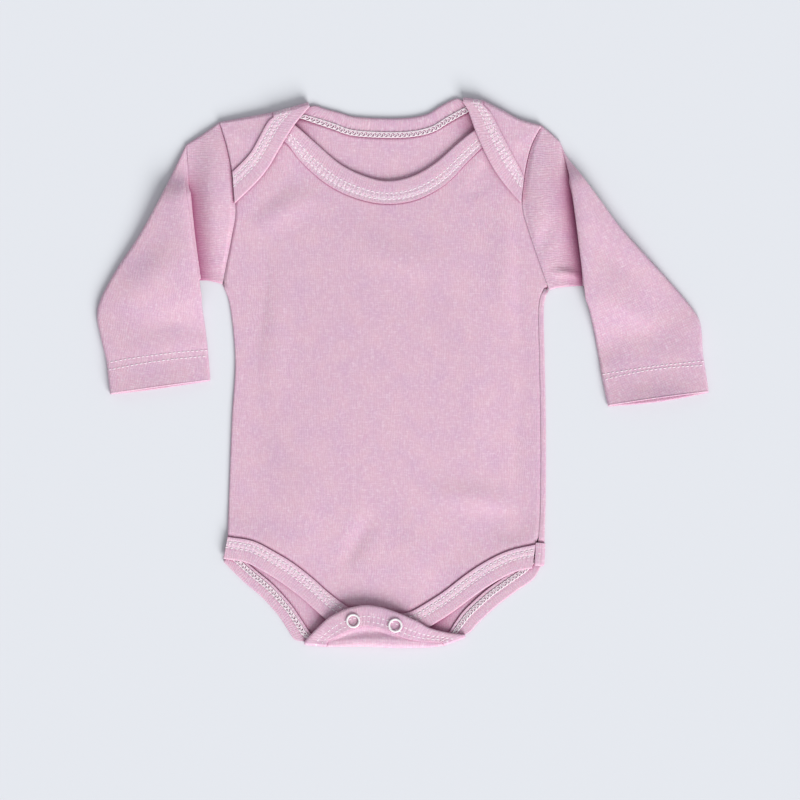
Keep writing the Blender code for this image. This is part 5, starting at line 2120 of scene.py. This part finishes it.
@dataclass(frozen=True)
class Studio:
    """A pale floor, a broad soft light from low right, an even fill and a camera straight above."""

    centre: tuple[float, float] = (-1.9, -18.1)
    view: float = 531.0
    distance: float = 3000.0
    sensor: float = 36.0
    key_place: tuple[float, float, float] = (0.42, -0.87, 0.6)
    key_spread: float = 36.0
    key_power: float = 3.45
    key_colour: tuple[float, float, float] = (1.0, 0.99, 0.985)
    fill_strength: float = 0.5
    world: str = "#EFF1F5"
    floor_size: float = 6000.0
    floor_z: float = -0.2

    def floor(self) -> None:
        """Lays the floor just under the garment."""
        half = self.floor_size / 2
        corners = ((-half, -half), (half, -half), (half, half), (-half, half))
        piece = mesh_object("floor", [(*corner, self.floor_z) for corner in corners], [[0, 1, 2, 3]])
        piece.data.materials.append(Board().build())

    def light(self) -> None:
        """Sets the key light and the world's even light."""
        data = bpy.data.lights.new("key", "SUN")
        data.angle = math.radians(self.key_spread)
        data.energy = self.key_power
        data.color = self.key_colour
        lamp = bpy.data.objects.new("key", data)
        lamp.rotation_euler = (-Vector(self.key_place)).to_track_quat("-Z", "Y").to_euler()
        bpy.context.scene.collection.objects.link(lamp)
        world = bpy.data.worlds.new("studio")
        world.use_nodes = True
        back = world.node_tree.nodes["Background"]
        back.inputs["Color"].default_value = linear(self.world)
        back.inputs["Strength"].default_value = self.fill_strength
        bpy.context.scene.world = world

    def camera(self) -> None:
        """Looks straight down on the garment."""
        data = bpy.data.cameras.new("camera")
        data.sensor_width = self.sensor
        data.clip_end = 10.0
        data.lens = self.sensor * self.distance / self.view
        made = bpy.data.objects.new("camera", data)
        made.location = (self.centre[0] * MM, self.centre[1] * MM, self.distance * MM)
        bpy.context.scene.collection.objects.link(made)
        bpy.context.scene.camera = made

    def make(self) -> None:
        """Sets up all of it."""
        self.camera()
        self.floor()
        self.light()
        bpy.context.scene.view_settings.view_transform = "Standard"


def left_sleeve(body: Body, finishes: Finishes) -> Sleeve:
    """The sleeve on the left.

    Args:
        body: the outline of the garment.
        finishes: the materials.

    Returns:
        The sleeve.
    """
    return Sleeve(
        side=Side.LEFT,
        armhole=body.left_armhole,
        upper=(Ring(-128.0, 161.6, -125.0, 60.2, 7.0), Ring(-134.0, 157.5, -130.0, 61.2, 3.5)),
        tuck=Tuck(-142.5, 151.5, -133.7, 61.6, -1.2, 0.14, 3.0),
        forearm=(
            Ring(-148.0, 142.5, -133.4, 52.0),
            Ring(-156.0, 126.0, -133.2, 47.0),
            Ring(-165.5, 108.0, -132.9, 43.0),
            Ring(-176.0, 89.6, -132.4, 39.0),
            Ring(-190.0, 68.6, -131.8, 35.0),
            Ring(-200.8, 48.3, -131.2, 31.0),
            Ring(-202.9, 36.5, -130.7, 27.0),
            Ring(-200.6, 24.0, -130.2, 23.0),
        ),
        hem=(
            Ring(-197.3, 10.5, -129.6, 18.5),
            Ring(-196.6, 7.5, -129.4, 16.0),
            Ring(-194.2, -14.4, -127.6, -5.2),
        ),
        finishes=finishes,
        upper_creases=(
            Crease(-128.5, 152.0, -124.5, 76.0, -1.0, 8.0, 3.6),
            Crease(-118.5, 148.0, -115.5, 76.0, 0.0, 9.0, 3.0),
        ),
        creases=(
            Crease(-146.0, 128.0, -139.0, 52.0, 1.5, 9.0, 0.9),
            Crease(-160.0, 100.0, -176.0, 70.0, 2.0, 9.0, -0.6),
            Crease(-148.0, 76.0, -188.0, 44.0, -2.0, 12.0, 1.2),
            Crease(-142.0, 40.0, -178.0, 24.0, 1.0, 9.0, -0.6),
        ),
        row_bow=0.08,
        painted_shade_width=9.5,
        cuff_opening=0.9,
    )


def right_sleeve(body: Body, finishes: Finishes) -> Sleeve:
    """The sleeve on the right, its cuff a little open.

    Args:
        body: the outline of the garment.
        finishes: the materials.

    Returns:
        The sleeve.
    """
    return Sleeve(
        side=Side.RIGHT,
        armhole=body.right_armhole,
        upper=(Ring(95.3, 161.4, 102.5, 56.3, -9.0), Ring(98.9, 158.3, 110.0, 57.2, -3.0)),
        tuck=Tuck(102.9, 153.3, 119.2, 57.0, 3.4, 0.06, 3.0),
        forearm=(
            Ring(109.2, 143.0, 120.8, 50.0),
            Ring(120.2, 129.0, 122.4, 45.0),
            Ring(131.8, 113.6, 123.9, 40.0),
            Ring(144.0, 97.0, 125.3, 34.0),
            Ring(160.0, 79.2, 126.6, 28.0),
            Ring(176.0, 61.6, 127.7, 22.0),
            Ring(191.9, 42.8, 129.0, 15.0),
            Ring(197.5, 32.0, 130.3, 8.0),
        ),
        hem=(
            Ring(199.2, 11.0, 131.2, 1.5),
            Ring(199.8, 8.0, 131.6, -1.0),
            Ring(203.0, -12.9, 136.0, -22.2),
        ),
        finishes=finishes,
        upper_creases=(
            Crease(88.0, 150.0, 92.0, 76.0, 1.0, 9.0, 2.6),
            Crease(100.0, 150.0, 104.0, 76.0, 1.0, 8.0, 2.2),
            Crease(101.0, 66.5, 117.0, 63.5, 0.8, 2.8, 2.4),
            Crease(97.0, 98.0, 88.0, 76.0, 0.0, 5.0, -1.0),
        ),
        creases=(
            Crease(112.0, 128.0, 124.0, 62.0, 1.5, 7.0, 1.0),
            Crease(128.0, 92.0, 150.0, 62.0, -2.0, 7.0, -1.3),
            Crease(139.0, 100.0, 172.0, 56.0, 2.0, 9.0, 1.3),
            Crease(134.0, 50.0, 166.0, 30.0, 1.0, 7.0, 1.2),
            Crease(150.0, 24.0, 190.0, 24.0, 2.0, 9.0, -0.6),
            Crease(130.0, 34.0, 140.0, 8.0, 0.0, 8.0, -0.6),
        ),
        rows=(HemRow(0.05, 0.05, 0.2), HemRow(0.18, 0.22, 0.7)),
        row_bow=0.13,
        painted_shade_width=11.0,
        cuff_opening=2.2,
    )


def lofted(pairs: Array, loft: Loft) -> Array:
    """Pairs of points lifted with the front.

    Args:
        pairs: the pairs of points.
        loft: how high the front stands.

    Returns:
        The lifted pairs.
    """
    made = pairs.copy()
    made[..., 2] += loft.at(pairs[..., 0], pairs[..., 1])
    return made


def main() -> None:
    """Loads the frame and builds every piece in order."""
    logging.basicConfig(level=logging.INFO, format="%(name)s %(message)s")
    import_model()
    Studio().make()
    finishes = Finishes.make()
    body = Body()
    neck, leg = BackNeck(), BackLeg()

    BackPanel(body, neck, leg, finishes).make()
    FrontPanel(body, finishes).make(
        lofted(edges_of(FRONT_NECK, body.front_neck_columns), body.loft),
        edges_of(FRONT_LEG, body.front_columns),
    )
    Binding(
        "back_neck_binding_strip",
        "back_neck_binding",
        ("front_panel_jersey", "floor"),
        finishes,
        looper=Looper(0.89),
    ).make(neck.stretches(*NECK_STEPS)[3])
    Binding("front_neck_binding_strip", "front_neck_binding", ("back_panel_jersey",), finishes).make(
        lofted(edges_of(FRONT_NECK, FRONT_NECK_STEPS), body.loft)
    )
    Binding(
        "back_leg_binding_strip",
        "back_leg_binding",
        ("front_leg_binding_strip", "floor"),
        finishes,
        outer=Face.UNDER,
        looper=Looper(0.72, wide=2.7),
    ).make(leg.stretches(*LEG_STEPS)[3])
    Binding("front_leg_binding_strip", "front_leg_binding", ("back_leg_binding_strip",), finishes).make(
        edges_of(FRONT_LEG, FRONT_LEG_STEPS)
    )
    left_sleeve(body, finishes).make()
    right_sleeve(body, finishes).make()
    for side in Side:
        Snap(side, finishes).make()
        for kind in ("socket", "stud"):
            held = bpy.data.objects[f"snap_{kind}_{side.value}"]
            held.data.materials.clear()
            held.data.materials.append(finishes.enamel)
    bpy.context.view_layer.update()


if __name__ == "__main__":
    main()
